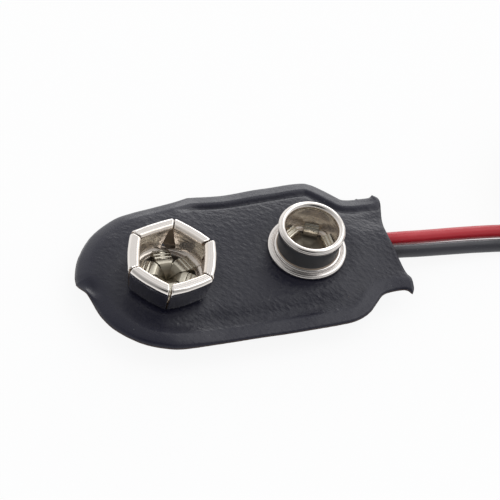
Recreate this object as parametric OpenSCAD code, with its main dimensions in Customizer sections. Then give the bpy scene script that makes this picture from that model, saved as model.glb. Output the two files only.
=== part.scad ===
// Battery snap with a soft welded pad, a hexagonal spring socket, a round stud and two leads.
// X runs from the socket to the stud and on to the leads, Z points out of the snaps.
// The origin lies midway between the snaps, on the flat underside of the pad.

/* [Pad] */
// Width of the pad across its parallel sides
pad_w = 15; // [14:0.1:18]
// Distance from the origin to the tip of the round end
pad_end_l = 13.7; // [13:0.1:16]
// Distance from the origin to the cut end of the tail
tail_end_l = 14.1; // [13.3:0.1:14.8]
// Distance from the origin to the shoulders, where the tail begins
shoulder_l = 10.8; // [10.2:0.1:11.5]
// Width of the tail
tail_w = 10.3; // [9:0.1:11]
// Radius of the rounded shoulders
shoulder_r = 2; // [1.5:0.1:3]
// Radius of the hollow corner between shoulder and tail
tail_fillet_r = 0.8; // [0.4:0.1:1.5]
// Turn of the cut outline against the line through the snaps
pad_skew = -3.4; // [-5:0.1:5]
// Sideways shift of the cut outline
pad_shift = 0.35; // [-0.5:0.05:0.5]

/* [Covers] */
// Thickness of each cover sheet
cover_t = 0.5; // [0.3:0.05:0.6]
// Thickness of each sheet where it is pressed flat in the weld
weld_t = 0.2; // [0.15:0.05:0.3]
// Width of the welded border
weld_w = 1.3; // [1:0.1:1.8]
// Height of the raised top above the welded border
top_step = 0.6; // [0.4:0.05:0.9]
// Width of the sloping wall of the top cover
top_slope = 0.35; // [0.2:0.05:0.8]
// Width of the sloping wall of the bottom cover
bottom_slope = 0.9; // [0.4:0.05:1.2]
// Clear width beside the leads at the mouth of the tail
mouth_gap = 0.15; // [0.05:0.05:0.4]

/* [Board] */
// Thickness of the stiffening board
board_t = 0.6; // [0.4:0.05:1]
// Clearance between the board and the sloping wall round it
board_gap = 0.15; // [0.05:0.05:0.4]

/* [Snaps] */
// Distance between the centres of the snaps
snap_pitch = 12.7; // [12.3:0.1:13]
// Thickness of the sheet metal
sheet_t = 0.25; // [0.15:0.01:0.35]
// Diameter of the stud over its rolled rim
stud_rim_d = 5.72; // [5.5:0.02:6]
// Diameter of the stud's neck above the foot
stud_neck_d = 5.2; // [5:0.02:5.3]
// How far the neck has widened where it meets the rim
neck_flare = 0.16; // [0:0.02:0.2]
// Diameter of the hollow in the stud
stud_bore_d = 4.5; // [4.3:0.02:4.7]
// Height of the stud above the pad
stud_h = 3.05; // [2.6:0.05:3.4]
// Diameter of the stud over its foot
stud_foot_d = 6.74; // [6.6:0.02:7.2]
// Radius of the rounded edge of the folded foot, half its height
foot_edge_r = 0.2; // [0.15:0.01:0.25]
// Radius of the hollow corner between foot and neck
neck_fillet_r = 0.22; // [0.1:0.02:0.3]
// Height of the straight band round the rim
rim_band_h = 0.2; // [0.15:0.05:0.3]
// Width across the flats of the socket, at the corners' line
socket_af = 7.04; // [6.9:0.02:7.3]
// Height of the socket above the pad
socket_h = 3.2; // [2.8:0.05:3.6]
// How far the middle of each spring leaf bows out
leaf_bow = 0.12; // [0.08:0.01:0.2]
// Width of the folded lip on each leaf
lip_w = 0.92; // [0.8:0.02:1]
// Height of the folded lip
lip_h = 0.5; // [0.4:0.02:0.7]
// Width of the slits between the leaves
slit_w = 0.16; // [0.08:0.02:0.3]
// Outer radius of the bend at the foot of each leaf
leaf_bend_r = 0.6; // [0.4:0.05:0.8]
// How far each leaf leans out from its foot to its lip
leaf_lean = 0.15; // [0:0.01:0.25]
// Turn of the socket about its own axis
socket_turn = 6.9; // [-15:0.1:45]

/* [Rivets] */
// Diameter of the rivet's shank
shank_d = 2.4; // [2:0.05:2.6]
// Diameter of the flat head under the board
head_d = 4.4; // [3.6:0.1:5]
// Thickness of the flat head
head_t = 0.35; // [0.2:0.05:0.45]
// Clearance between the socket's lugs and the bend of its leaves
socket_lug_gap = 0.24; // [0.1:0.02:0.4]
// Clearance between the stud's lugs and its hollow
stud_lug_gap = 0.1; // [0.05:0.01:0.3]
// How far the socket's lugs reach over the edge of its floor
lug_hold = 0.2; // [0.15:0.01:0.3]
// Width of each lug
lug_w = 1.22; // [1:0.02:1.3]
// Thickness of the lugs at their outer ends
lug_t = 0.22; // [0.15:0.01:0.3]
// Extra height of the lugs next to the dish
lug_step = 0.28; // [0.1:0.02:0.4]
// Number of steps across each lug
lug_steps = 3; // [1:1:4]
// Diameter of the dish in the socket's rivet
socket_dish_d = 2.7; // [2.5:0.05:3]
// Diameter of the dish in the stud's rivet
stud_dish_d = 2.1; // [1.8:0.05:2.4]
// Depth of the dish
dish_depth = 0.7; // [0.5:0.05:0.8]
// Width of the crest round the dish
crest_w = 0.15; // [0.1:0.01:0.25]
// Turn of the socket's rivet about its own axis
socket_rivet_turn = 25; // [0:0.5:60]
// Turn of the stud's rivet about its own axis
stud_rivet_turn = 58.5; // [0:0.5:60]
// Clearance round the shank in each hole
hole_gap = 0.05; // [0.02:0.01:0.1]

/* [Leads] */
// Outer diameter of each lead
lead_d = 1.15; // [1:0.05:1.2]
// Length of each insulated lead outside the pad
lead_l = 150; // [140:1:160]
// Diameter of the stranded core
core_d = 0.5; // [0.3:0.05:0.5]
// Length of the bare tip at the free end
tip_l = 5; // [3:0.5:6]
// Clearance between a lead and the cover under it
lead_gap = 0.05; // [0.02:0.01:0.1]
// Distance from a snap's axis to where the insulation ends
strip_l = 2.6; // [2.4:0.1:2.8]
// Diameter of the solder where it meets the rivet
solder_d = 2.5; // [2:0.1:3]
// Height of the solder below the rivet
solder_h = 0.65; // [0.6:0.05:0.7]

/* [Coil] */
// Distance of the coil's centre from the origin along X
coil_x = 35; // [34:0.5:38]
// Distance of the coil's centre from the origin along Y
coil_y = 1.5; // [1:0.1:2]
// Diameter of the red lead's turns at the middle of the lead
coil_d = 11.5; // [11:0.1:12]
// Gap between neighbouring turns
turn_gap = 0.05; // [0.02:0.01:0.1]
// Width of the tie round the coil
tie_w = 1.6; // [1:0.1:2.5]
// Thickness of the tie
tie_t = 0.2; // [0.1:0.05:0.25]
// Clearance between the tie and the coil
tie_gap = 0.05; // [0.02:0.01:0.1]
// Place of the tie round the coil
tie_angle = 20; // [0:1:60]

/* [Hidden] */
$fn = 96;

// Places of the snaps
socket_x = -snap_pitch / 2;
stud_x = snap_pitch / 2;

// Heights of the layers, from the underside up
lead_room = lead_d + 2 * lead_gap;
board_z = cover_t + lead_room;
plateau_in_z = board_z + board_t;
plateau_z = plateau_in_z + cover_t;
weld_z = plateau_z - top_step - weld_t;
head_z = board_z - head_t;
core_z = head_z - core_d / 2;
floor_z = plateau_z + sheet_t;

// Reach of a spring leaf and of the flat floor it bends up from
leaf_out = socket_af / 2 + leaf_bow;
leaf_foot = leaf_out - leaf_lean - leaf_bend_r;

// Reach of the rivets' lugs, and the hole that the socket's lugs hold by its edge
socket_lug_r = leaf_foot - socket_lug_gap;
stud_lug_r = stud_bore_d / 2 - stud_lug_gap;
socket_hole_r = socket_lug_r - lug_hold;

// Outline of the pad
half_w = pad_w / 2;
tail_half_w = tail_w / 2;
round_x = half_w - pad_end_l;
shoulder_x = shoulder_l - shoulder_r;
shoulder_y = half_w - shoulder_r;
fillet_y = tail_half_w + tail_fillet_r;
fillet_x = shoulder_x + sqrt(pow(shoulder_r + tail_fillet_r, 2) - pow(fillet_y - shoulder_y, 2));
overcut = 0.2;
reach = 40;

// Mouth of the tail, where the leads leave between the covers
exit_z = 1.45;
red_exit_y = 0.3;
black_exit_y = -1.1;
mouth_half_w = (red_exit_y - black_exit_y + lead_d) / 2 + mouth_gap;
mouth_y = (red_exit_y + black_exit_y) / 2 - pad_shift - tail_end_l * sin(pad_skew);
root_half_w = tail_half_w - weld_w;
root_back = 0.7;
root_x = shoulder_l - root_back;
foot_lift = 0.1;
mouth_top_z = max(exit_z + lead_d / 2 + lead_gap, weld_z);
mouth_floor_z = exit_z - lead_d / 2 - lead_gap;

// Routes of the leads inside the pad, from the mouth to the snaps
inner_z = cover_t + lead_room / 2;
red_bearing = atan2(2, 4);
black_bearing = -7;
red_inner_route = [[tail_end_l, red_exit_y, exit_z], [13, 0.4, 1.39], [12, 0.6, 1.28],
    [11, 0.95, inner_z + 0.03], [10, 1.45, inner_z], [8.8, 2.15, inner_z], [7.4, 3, inner_z],
    [5.6, 3.7, inner_z], [3.5, 4, inner_z], [1.5, 3.8, inner_z], [0, 3.2, inner_z],
    [socket_x + 5, 2.5, inner_z], [socket_x + 4, 2, inner_z],
    [socket_x + strip_l * cos(red_bearing), strip_l * sin(red_bearing), inner_z]];
black_inner_route = [[tail_end_l, black_exit_y, exit_z], [13, -1.02, 1.39], [12, -0.85, 1.28],
    [11.2, -0.66, inner_z + 0.04], [stud_x + 4, 4 * tan(black_bearing), inner_z],
    [stud_x + strip_l * cos(black_bearing), strip_l * sin(black_bearing), inner_z]];

// Routes of the leads outside the pad, from the mouth to the coil
red_route = [[tail_end_l, red_exit_y, exit_z], [15.1, 0.17, 1.43], [16.1, 0.06, 1.36], [17.2, -0.04, 1.25],
    [18.4, -0.12, 1.11], [19.7, -0.2, 0.97], [21, -0.3, 0.84], [22.2, -0.42, 0.74], [23.4, -0.57, 0.66],
    [24.6, -0.76, 0.6], [25.5, -0.98, 0.58], [26.4, -1.28, 0.58], [27.3, -1.62, 0.58], [28.2, -1.98, 0.58],
    [28.8, -2.22, 0.59], [29.3, -2.42, 0.61]];
black_route = [[tail_end_l, black_exit_y, exit_z], [15.1, -1.26, 1.43], [16.1, -1.4, 1.36], [17.3, -1.53, 1.26],
    [18.5, -1.63, 1.14], [19.8, -1.73, 0.99], [21.2, -1.85, 0.85], [22.4, -1.99, 0.74], [23.6, -2.15, 0.65],
    [24.6, -2.33, 0.6], [25.6, -2.59, 0.58], [26.5, -2.87, 0.58], [27.4, -3.17, 0.58], [28.1, -3.41, 0.58],
    [28.8, -3.67, 0.6]];
lead_sides = 8;

// The coil: the red turns lie inside the black ones
turn_pitch = lead_d + turn_gap;
coil_z = tie_t + 2 * tie_gap;
red_turn_r = coil_d / 2;
black_turn_r = red_turn_r + turn_pitch;
red_start = -112;
black_start = -108;
red_turns = turns_left(red_route, red_turn_r, red_start);
black_turns = turns_left(black_route, black_turn_r, black_start);
red_top_z = coil_z + lead_d / 2 + red_turns * turn_pitch;
black_top_z = coil_z + lead_d / 2 + black_turns * turn_pitch;
tip_lean = 12;
tip_gap = 0.02;
underpass_gap = 0.15;
underpass_back = 4.6;
underpass_l = 7;

function unit(v) = v / norm(v);
function route_l(route) = sum_l(route, 1);
function sum_l(route, i) = i == len(route) ? 0 : norm(route[i] - route[i - 1]) + sum_l(route, i + 1);

// Point on a turn of the coil
function turn_point(r, angle, z) = [coil_x + r * cos(angle), coil_y + r * sin(angle), z];

// Turns that the rest of a lead makes, after its route and the straight run onto the coil
function turns_left(route, r, start) =
    let (entry = norm(turn_point(r, start, coil_z + lead_d / 2) - route[len(route) - 1]))
    (lead_l - route_l(route) - entry) / norm([2 * PI * r, turn_pitch]);

// Rings of points round a route; the first ring faces along the given direction
function along(route, i) = unit(route[min(i + 1, len(route) - 1)] - route[max(i - 1, 0)]);
function ring_points(centre, dir, r) =
    let (side = unit(cross(dir, [0, 0, 1])), up = cross(side, dir))
    [for (k = [0 : lead_sides - 1])
        centre + r * (cos(360 * k / lead_sides) * side + sin(360 * k / lead_sides) * up)];

module tube(route, d, start_dir) {
    last = len(route) - 1;
    n = lead_sides;
    points = [for (i = [0 : last]) each ring_points(route[i], i == 0 ? start_dir : along(route, i), d / 2)];
    sides = [for (i = [0 : last - 1]) for (k = [0 : n - 1])
        [i * n + k, i * n + (k + 1) % n, (i + 1) * n + (k + 1) % n, (i + 1) * n + k]];
    polyhedron(points, concat(sides, [[for (k = [n - 1 : -1 : 0]) k], [for (k = [0 : n - 1]) last * n + k]]));
}

// Outline of the pad, drawn in from its edge
module pad_outline(inset) {
    translate([round_x, 0])
        circle(r = half_w - inset);
    translate([round_x, -half_w + inset])
        square([shoulder_x - round_x, 2 * (half_w - inset)]);
    translate([shoulder_x - shoulder_r, -shoulder_y])
        square([2 * shoulder_r - inset, 2 * shoulder_y]);
    translate([shoulder_x, -tail_half_w + inset])
        square([tail_end_l - shoulder_x, 2 * (tail_half_w - inset)]);
    for (side = [-1, 1])
        scale([1, side]) {
            translate([shoulder_x, shoulder_y])
                circle(r = shoulder_r - inset);
            difference() {
                polygon([[shoulder_x, shoulder_y], [fillet_x, fillet_y], [fillet_x, tail_half_w - inset],
                    [shoulder_x, tail_half_w - inset]]);
                translate([fillet_x, fillet_y])
                    circle(r = tail_fillet_r + inset);
            }
        }
}

// Solid between two heights whose wall slopes from one inset to another: half a cone at the round
// end, and a block with sloping sides and a sloping end up to the shoulders
module body_form(z_a, inset_a, z_b, inset_b) {
    a = half_w - inset_a;
    b = half_w - inset_b;
    end_a = shoulder_l - inset_a;
    end_b = shoulder_l - inset_b;
    translate([round_x, 0, 0])
        rotate(90)
            rotate_extrude(angle = 180)
                polygon([[0, z_a], [a, z_a], [b, z_b], [0, z_b]]);
    intersection() {
        translate([round_x, 0, 0])
            rotate([90, 0, 90])
                linear_extrude(shoulder_l - round_x)
                    polygon([[-a, z_a], [a, z_a], [b, z_b], [-b, z_b]]);
        rotate([90, 0, 0])
            linear_extrude(pad_w, center = true)
                polygon([[round_x, z_a], [end_a, z_a], [end_b, z_b], [round_x, z_b]]);
    }
}

// Tapered channel from the body to the mouth of the tail; the wall is taken off its sides
module tail_form(wall, base_z, root_z, mouth_z, end_x) {
    near_x = shoulder_x - shoulder_r;
    root_w = root_half_w - wall;
    mouth_w = mouth_half_w + cover_t - wall;
    upside = root_z > base_z ? 1 : -1;
    low = min(base_z, root_z);
    translate([near_x, -root_w, low])
        cube([root_x - near_x, 2 * root_w, abs(root_z - base_z)]);
    points = [for (z = [0, 1]) each [[root_x, -root_w, z == 0 ? base_z : root_z],
        [end_x, mouth_y - mouth_w, z == 0 ? base_z : mouth_z],
        [end_x, mouth_y + mouth_w, z == 0 ? base_z : mouth_z],
        [root_x, root_w, z == 0 ? base_z : root_z]]];
    faces = [[0, 1, 2, 3], [7, 6, 5, 4], for (k = [0 : 3]) [k, k + 4, (k + 1) % 4 + 4, (k + 1) % 4]];
    polyhedron(points, [for (face = faces) upside > 0 ? face : [for (i = [3 : -1 : 0]) face[i]]]);
}

// Puts the cut outline in its place against the snaps
module pad_place() {
    rotate(pad_skew)
        translate([0, pad_shift, 0])
            children();
}

module at_snaps() {
    for (x = [socket_x, stud_x])
        translate([x, 0, 0])
            children();
}

module shank_hole() {
    cylinder(h = reach, d = shank_d + 2 * hole_gap);
}

// Upper sheet: a raised, flat-topped pocket inside a welded border
module top_cover() {
    color([0.17, 0.17, 0.19])
        difference() {
            pad_place()
                difference() {
                    union() {
                        translate([0, 0, weld_z])
                            linear_extrude(weld_t)
                                pad_outline(0);
                        body_form(weld_z, weld_w, plateau_z, weld_w + top_slope);
                        tail_form(0, weld_z, plateau_z, mouth_top_z + cover_t, tail_end_l);
                    }
                    body_form(weld_z - overcut, weld_w + cover_t, plateau_in_z, weld_w + top_slope + cover_t);
                    tail_form(cover_t, weld_z - overcut, plateau_in_z, mouth_top_z, tail_end_l + overcut);
                }
            at_snaps()
                shank_hole();
        }
}

// Lower sheet: a shallow tray with a flat underside, inside the same welded border
module bottom_cover() {
    color([0.15, 0.15, 0.17])
        pad_place()
            difference() {
                union() {
                    translate([0, 0, weld_z - weld_t])
                        linear_extrude(weld_t)
                            pad_outline(0);
                    linear_extrude(cover_t)
                        tray_floor_outline();
                    body_form(foot_lift, weld_w + bottom_slope, weld_z, weld_w);
                    tail_form(0, weld_z, foot_lift, mouth_floor_z - cover_t, tail_end_l);
                }
                body_form(cover_t, weld_w + bottom_slope + cover_t, weld_z + overcut, weld_w + cover_t);
                tail_form(cover_t, weld_z + overcut, cover_t, mouth_floor_z, tail_end_l + overcut);
            }
}

// Flat floor of the lower sheet
module tray_floor_outline() {
    inset = weld_w + bottom_slope;
    translate([round_x, 0])
        circle(r = half_w - inset);
    translate([round_x, -half_w + inset])
        square([shoulder_l - inset - round_x, 2 * (half_w - inset)]);
}

// Stiff board under the top sheet, which the rivets clamp
module stiffener_board() {
    inset = weld_w + top_slope + cover_t + board_gap;
    tongue_half_w = root_half_w - cover_t - board_gap;
    color([0.45, 0.36, 0.25])
        difference() {
            pad_place()
                translate([0, 0, board_z])
                    linear_extrude(board_t) {
                        translate([round_x, 0])
                            circle(r = half_w - inset);
                        translate([round_x, -half_w + inset])
                            square([shoulder_l - inset - round_x, 2 * (half_w - inset)]);
                        translate([0, -tongue_half_w])
                            square([root_x - board_gap, 2 * tongue_half_w]);
                    }
            at_snaps()
                shank_hole();
        }
}

// Section of one spring leaf, out from the axis and up from the pad
module leaf_section() {
    foot_out = leaf_out - leaf_lean;
    corner_r = lip_h / 2;
    translate([socket_hole_r, 0])
        square([leaf_foot - socket_hole_r, sheet_t]);
    translate([leaf_foot, leaf_bend_r])
        intersection() {
            difference() {
                circle(r = leaf_bend_r);
                circle(r = leaf_bend_r - sheet_t);
            }
            translate([0, -leaf_bend_r])
                square(leaf_bend_r);
        }
    polygon([[foot_out - sheet_t, leaf_bend_r], [foot_out, leaf_bend_r], [leaf_out, socket_h - corner_r],
        [leaf_out - sheet_t, socket_h - corner_r]]);
    for (x = [leaf_out - lip_w + corner_r, leaf_out - corner_r])
        translate([x, socket_h - corner_r])
            circle(r = corner_r);
    translate([leaf_out - lip_w + corner_r, socket_h - lip_h])
        square([lip_w - lip_h, lip_h]);
}

// One bowed leaf, with its ends cut along the corner lines
module leaf() {
    half_side = socket_af / 2 * tan(30);
    bow_r = (half_side * half_side + leaf_bow * leaf_bow) / (2 * leaf_bow);
    back = bow_r - leaf_out;
    span = 2 * asin(half_side / bow_r) + 2;
    far = socket_af;
    intersection() {
        translate([-back, 0, 0])
            rotate(-span / 2)
                rotate_extrude(angle = span)
                    translate([back, 0])
                        leaf_section();
        linear_extrude(2 * socket_h)
            polygon([[slit_w, 0], [far, (far - slit_w) * tan(30)], [far, -(far - slit_w) * tan(30)]]);
    }
}

// Socket: a flat floor and six leaves that spring outwards round a stud
module hex_socket() {
    color([0.80, 0.78, 0.74])
        translate([socket_x, 0, plateau_z])
            rotate(socket_turn + 30)
                difference() {
                    union() {
                        cylinder(h = sheet_t, r = leaf_foot);
                        for (k = [0 : 5])
                            rotate(60 * k)
                                leaf();
                    }
                    translate([0, 0, -sheet_t])
                        cylinder(h = 3 * sheet_t, r = socket_hole_r);
                }
}

// Section of the stud: floor, folded foot, hollow corner, widening neck and rolled rim
module stud_section() {
    rim_r = (stud_rim_d - stud_bore_d) / 4;
    rim_mid = (stud_rim_d + stud_bore_d) / 4;
    band_z = stud_h - rim_r - rim_band_h;
    bore_r = stud_bore_d / 2;
    neck_r = stud_neck_d / 2;
    edge_mid = stud_foot_d / 2 - foot_edge_r;
    foot_h = 2 * foot_edge_r;
    hole_r = shank_d / 2 + hole_gap;
    translate([hole_r, 0])
        square([bore_r - hole_r, sheet_t]);
    translate([bore_r, 0])
        square([edge_mid - bore_r, foot_h]);
    translate([edge_mid, foot_edge_r])
        circle(r = foot_edge_r);
    difference() {
        translate([bore_r, foot_h])
            square([neck_r + neck_fillet_r - bore_r, neck_fillet_r]);
        translate([neck_r + neck_fillet_r, foot_h + neck_fillet_r])
            circle(r = neck_fillet_r);
    }
    polygon([[bore_r, foot_h], [neck_r, foot_h + neck_fillet_r], [neck_r + neck_flare, band_z], [bore_r, band_z]]);
    for (z = [band_z, stud_h - rim_r])
        translate([rim_mid, z])
            circle(r = rim_r);
    translate([rim_mid - rim_r, band_z])
        square([2 * rim_r, rim_band_h]);
}

// Stud: a drawn cup with a rolled rim
module round_stud() {
    color([0.80, 0.78, 0.74])
        translate([stud_x, 0, plateau_z])
            rotate_extrude()
                stud_section();
}

// Six straight-sided lugs inside a circle
module lugs(r) {
    intersection() {
        circle(r = r);
        for (k = [0 : 2])
            rotate(60 * k)
                square([2 * r, lug_w], center = true);
    }
}

// Rivet: a flat head, a shank, and an end split into six lugs that are flared over the snap's floor
// and step up to a dish
module rivet(x, turn, lug_r, dish_d) {
    dish_r = (pow(dish_d / 2, 2) + dish_depth * dish_depth) / (2 * dish_depth);
    top_z = floor_z + lug_t + lug_step;
    crest_r = dish_d / 2 + crest_w;
    step_l = (lug_r - crest_r) / lug_steps;
    color([0.72, 0.70, 0.64])
        translate([x, 0, 0])
            rotate(turn)
                difference() {
                    union() {
                        translate([0, 0, head_z])
                            cylinder(h = head_t, d = head_d);
                        translate([0, 0, head_z])
                            cylinder(h = top_z - head_z, d = shank_d);
                        for (k = [0 : lug_steps])
                            translate([0, 0, floor_z])
                                linear_extrude(lug_t + lug_step * k / lug_steps)
                                    lugs(lug_r - k * step_l);
                    }
                    translate([0, 0, top_z - dish_depth + dish_r])
                        sphere(r = dish_r);
                }
}

module socket_rivet() {
    rivet(socket_x, socket_rivet_turn, socket_lug_r, socket_dish_d);
}

module stud_rivet() {
    rivet(stud_x, stud_rivet_turn, stud_lug_r, stud_dish_d);
}

// Bare core from the end of the insulation to the middle of a rivet's head
module core(x, bearing, gap) {
    translate([x, 0, core_z])
        rotate(bearing)
            translate([core_d, 0, 0])
                rotate([0, 90, 0])
                    cylinder(h = strip_l - core_d, d = core_d + 2 * gap);
}

// Solder that joins a core to the underside of a rivet
module solder(x, bearing) {
    dome_r = (pow(solder_d / 2, 2) + solder_h * solder_h) / (2 * solder_h);
    color([0.66, 0.66, 0.68])
        difference() {
            translate([x, 0, head_z])
                rotate_extrude()
                    intersection() {
                        translate([0, dome_r - solder_h])
                            circle(r = dome_r);
                        translate([0, -solder_h])
                            square([solder_d / 2, solder_h]);
                    }
            core(x, bearing, 0);
        }
}

module socket_solder() {
    solder(socket_x, red_bearing);
}

module stud_solder() {
    solder(stud_x, black_bearing);
}

module red_conductor() {
    color([0.72, 0.45, 0.25])
        core(socket_x, red_bearing, 0);
}

module black_conductor() {
    color([0.72, 0.45, 0.25])
        core(stud_x, black_bearing, 0);
}

module red_inner_lead() {
    color([0.70, 0.07, 0.12])
        tube(red_inner_route, lead_d, [-1, 0, 0]);
}

module black_inner_lead() {
    color([0.13, 0.13, 0.14])
        tube(black_inner_route, lead_d, [-1, 0, 0]);
}

module red_lead() {
    color([0.70, 0.07, 0.12])
        tube(red_route, lead_d, [1, 0, 0]);
}

module black_lead() {
    color([0.13, 0.13, 0.14])
        tube(black_route, lead_d, [1, 0, 0]);
}

// Bare tip that goes on from the last turn of a lead and leans in over the coil
module tip(r, angle, z, gap) {
    translate(turn_point(r, angle, z))
        rotate(angle + 90 + tip_lean)
            rotate([0, 90, 0])
                cylinder(h = tip_l, d = core_d + 2 * gap);
}

// Ring that holds all the turns of one lead
module turns_ring(r, top_z) {
    translate([coil_x, coil_y, coil_z])
        rotate_extrude()
            translate([r - lead_d / 2, 0])
                square([lead_d, top_z - coil_z]);
}

module red_coil() {
    color([0.70, 0.07, 0.12])
        difference() {
            turns_ring(red_turn_r, red_top_z);
            tip(red_turn_r, red_start + 360 * red_turns, red_top_z, tip_gap);
        }
}

// The red lead passes under the first of the black turns
module black_coil() {
    end = red_route[len(red_route) - 1];
    heading = red_start + 90;
    width = lead_d + 2 * underpass_gap;
    color([0.13, 0.13, 0.14])
        difference() {
            turns_ring(black_turn_r, black_top_z);
            tip(black_turn_r, black_start + 360 * black_turns, black_top_z, tip_gap);
            translate([end[0], end[1], 0])
                rotate(heading)
                    translate([-underpass_back, -width / 2, 0])
                        cube([underpass_l, width, end[2] + width / 2]);
        }
}

module red_tip() {
    color([0.75, 0.74, 0.72])
        tip(red_turn_r, red_start + 360 * red_turns, red_top_z, 0);
}

module black_tip() {
    color([0.75, 0.74, 0.72])
        tip(black_turn_r, black_start + 360 * black_turns, black_top_z, 0);
}

// Taut band round both sets of turns
module tie_section(grow) {
    inside_r = sqrt(pow(red_turn_r - lead_d / 2, 2) - pow(tie_w / 2, 2));
    low = [inside_r - grow, coil_z - grow];
    high = [black_turn_r + lead_d / 2 + grow, red_top_z + grow];
    polygon([low, [high[0], low[1]], [high[0], black_top_z + grow], [red_turn_r + lead_d / 2 + grow, high[1]],
        [low[0], high[1]]]);
}

module coil_tie() {
    color([0.88, 0.88, 0.86])
        translate([coil_x, coil_y, 0])
            rotate([90, 0, tie_angle])
                translate([0, 0, -tie_w / 2])
                    linear_extrude(tie_w)
                        difference() {
                            tie_section(tie_gap + tie_t);
                            tie_section(tie_gap);
                        }
}

top_cover();
bottom_cover();
stiffener_board();
hex_socket();
round_stud();
socket_rivet();
stud_rivet();
socket_solder();
stud_solder();
red_conductor();
black_conductor();
red_inner_lead();
black_inner_lead();
red_lead();
black_lead();
red_coil();
black_coil();
red_tip();
black_tip();
coil_tie();
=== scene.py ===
"""Looks of a battery snap: a soft welded pad, a hexagonal spring socket, a round stud and two leads."""

import math

import bmesh
import bpy
import numpy as np
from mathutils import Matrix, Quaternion, Vector, noise
from mathutils.geometry import delaunay_2d_cdt


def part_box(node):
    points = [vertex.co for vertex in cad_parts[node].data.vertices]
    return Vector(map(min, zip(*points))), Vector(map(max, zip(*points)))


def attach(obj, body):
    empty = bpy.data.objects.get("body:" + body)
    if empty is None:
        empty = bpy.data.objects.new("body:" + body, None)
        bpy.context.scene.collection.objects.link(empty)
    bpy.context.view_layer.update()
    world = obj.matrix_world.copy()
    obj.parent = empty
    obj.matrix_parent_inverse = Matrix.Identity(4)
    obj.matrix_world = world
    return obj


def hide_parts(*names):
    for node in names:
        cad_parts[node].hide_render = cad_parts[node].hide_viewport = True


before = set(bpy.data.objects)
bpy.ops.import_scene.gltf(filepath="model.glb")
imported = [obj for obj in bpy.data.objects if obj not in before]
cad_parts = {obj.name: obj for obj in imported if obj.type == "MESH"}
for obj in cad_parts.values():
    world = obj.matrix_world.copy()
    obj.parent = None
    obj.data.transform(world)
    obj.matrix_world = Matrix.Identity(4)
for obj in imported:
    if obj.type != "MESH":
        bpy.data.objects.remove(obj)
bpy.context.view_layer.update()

# Lengths below are in millimetres and angles in degrees, unless a name says otherwise
MM = 0.001
BODY = "root"


# Small helpers

def box_mm(node):
    """Lowest and highest corner of a CAD node."""
    low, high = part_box(node)
    return np.array(low) / MM, np.array(high) / MM


def smooth(low, high, x):
    """Smooth step from 0 at low to 1 at high."""
    t = np.clip((x - low) / (high - low), 0, 1)
    return t * t * (3 - 2 * t)


def mix(a, b, t):
    return a + (b - a) * t


def hump(x, centre, width):
    """Bell curve of height 1."""
    return np.exp(-((x - centre) / width) ** 2)


def arc(centre, radius, start, end, count):
    """Points along an arc in a section, angles from the first axis."""
    angles = np.radians(np.linspace(start, end, count))
    return [(centre[0] + radius * math.cos(a), centre[1] + radius * math.sin(a)) for a in angles]


def spline(points, steps, closed=False):
    """Catmull-Rom curve through the points, with that many steps between each two."""
    p = np.array(points, float)
    if closed:
        p = np.vstack([p[-1], p, p[0], p[1]])
    else:
        p = np.vstack([2 * p[0] - p[1], p, 2 * p[-1] - p[-2]])
    out = []
    for a, b, c, d in zip(p, p[1:], p[2:], p[3:]):
        for t in np.arange(steps) / steps:
            out.append(0.5 * (2 * b + (c - a) * t + (2 * a - 5 * b + 4 * c - d) * t * t
                              + (3 * b - a - 3 * c + d) * t ** 3))
    if not closed:
        out.append(p[-2])
    return np.array(out)


def uneven(points, size, seed):
    """Smooth noise from about -1 to 1, with bumps of that size."""
    return np.array([noise.noise(Vector((x / size, y / size, seed))) for x, y in points])


def facing(degrees):
    """Unit vectors in plan: in that direction and square to it."""
    a = math.radians(degrees)
    out = np.array((math.cos(a), math.sin(a)))
    return out, np.array((-out[1], out[0]))


def polar(centre, r, angle, z):
    """Place at a radius and an angle in radians round a centre."""
    return centre[0] + r * math.cos(angle), centre[1] + r * math.sin(angle), z


def tube_faces(count, n):
    """Faces between closed sections of n points each, in a closed row."""
    return [(k * n + i, (k + 1) % count * n + i, (k + 1) % count * n + (i + 1) % n, k * n + (i + 1) % n)
            for k in range(count) for i in range(n)]


def put(name, data):
    """New object in the scene."""
    thing = bpy.data.objects.new(name, data)
    bpy.context.scene.collection.objects.link(thing)
    return thing


def dress(piece, nodes):
    """A piece that rides on the part and stands for CAD nodes."""
    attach(piece, BODY)
    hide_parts(*nodes)
    return piece


def make_piece(name, points, faces, materials, nodes, sharp, finish=None, grain=None):
    """Mesh piece from points in millimetres; finish holds the number of each face's material."""
    mesh = bpy.data.meshes.new(name)
    mesh.from_pydata((np.asarray(points, float) * MM).tolist(), [], [tuple(map(int, f)) for f in faces])
    for material in materials:
        mesh.materials.append(material)
    if finish is not None:
        mesh.polygons.foreach_set("material_index", np.asarray(finish, np.int32))
    if grain is not None:
        worked = mesh.attributes.new("grain", "FLOAT", "POINT")
        worked.data.foreach_set("value", np.asarray(grain, np.float32))
    shaped = bmesh.new()
    shaped.from_mesh(mesh)
    bmesh.ops.recalc_face_normals(shaped, faces=shaped.faces)
    shaped.to_mesh(mesh)
    shaped.free()
    mesh.shade_smooth()
    mesh.set_sharp_from_angle(angle=math.radians(sharp))
    return dress(put(name, mesh), nodes)


def make_wire(name, routes, diameter, material, nodes):
    """Curve piece of round wires along routes in millimetres."""
    curve = bpy.data.curves.new(name, "CURVE")
    curve.dimensions = "3D"
    curve.bevel_depth = diameter / 2 * MM
    curve.bevel_resolution = 6
    curve.use_fill_caps = True
    for route in routes:
        line = curve.splines.new("POLY")
        line.points.add(len(route) - 1)
        for point, place in zip(line.points, route):
            point.co = (*(np.asarray(place) * MM), 1)
        line.use_smooth = True
    curve.materials.append(material)
    return dress(put(name, curve), nodes)


# Camera: the photograph's angle, with a long lens

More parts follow.
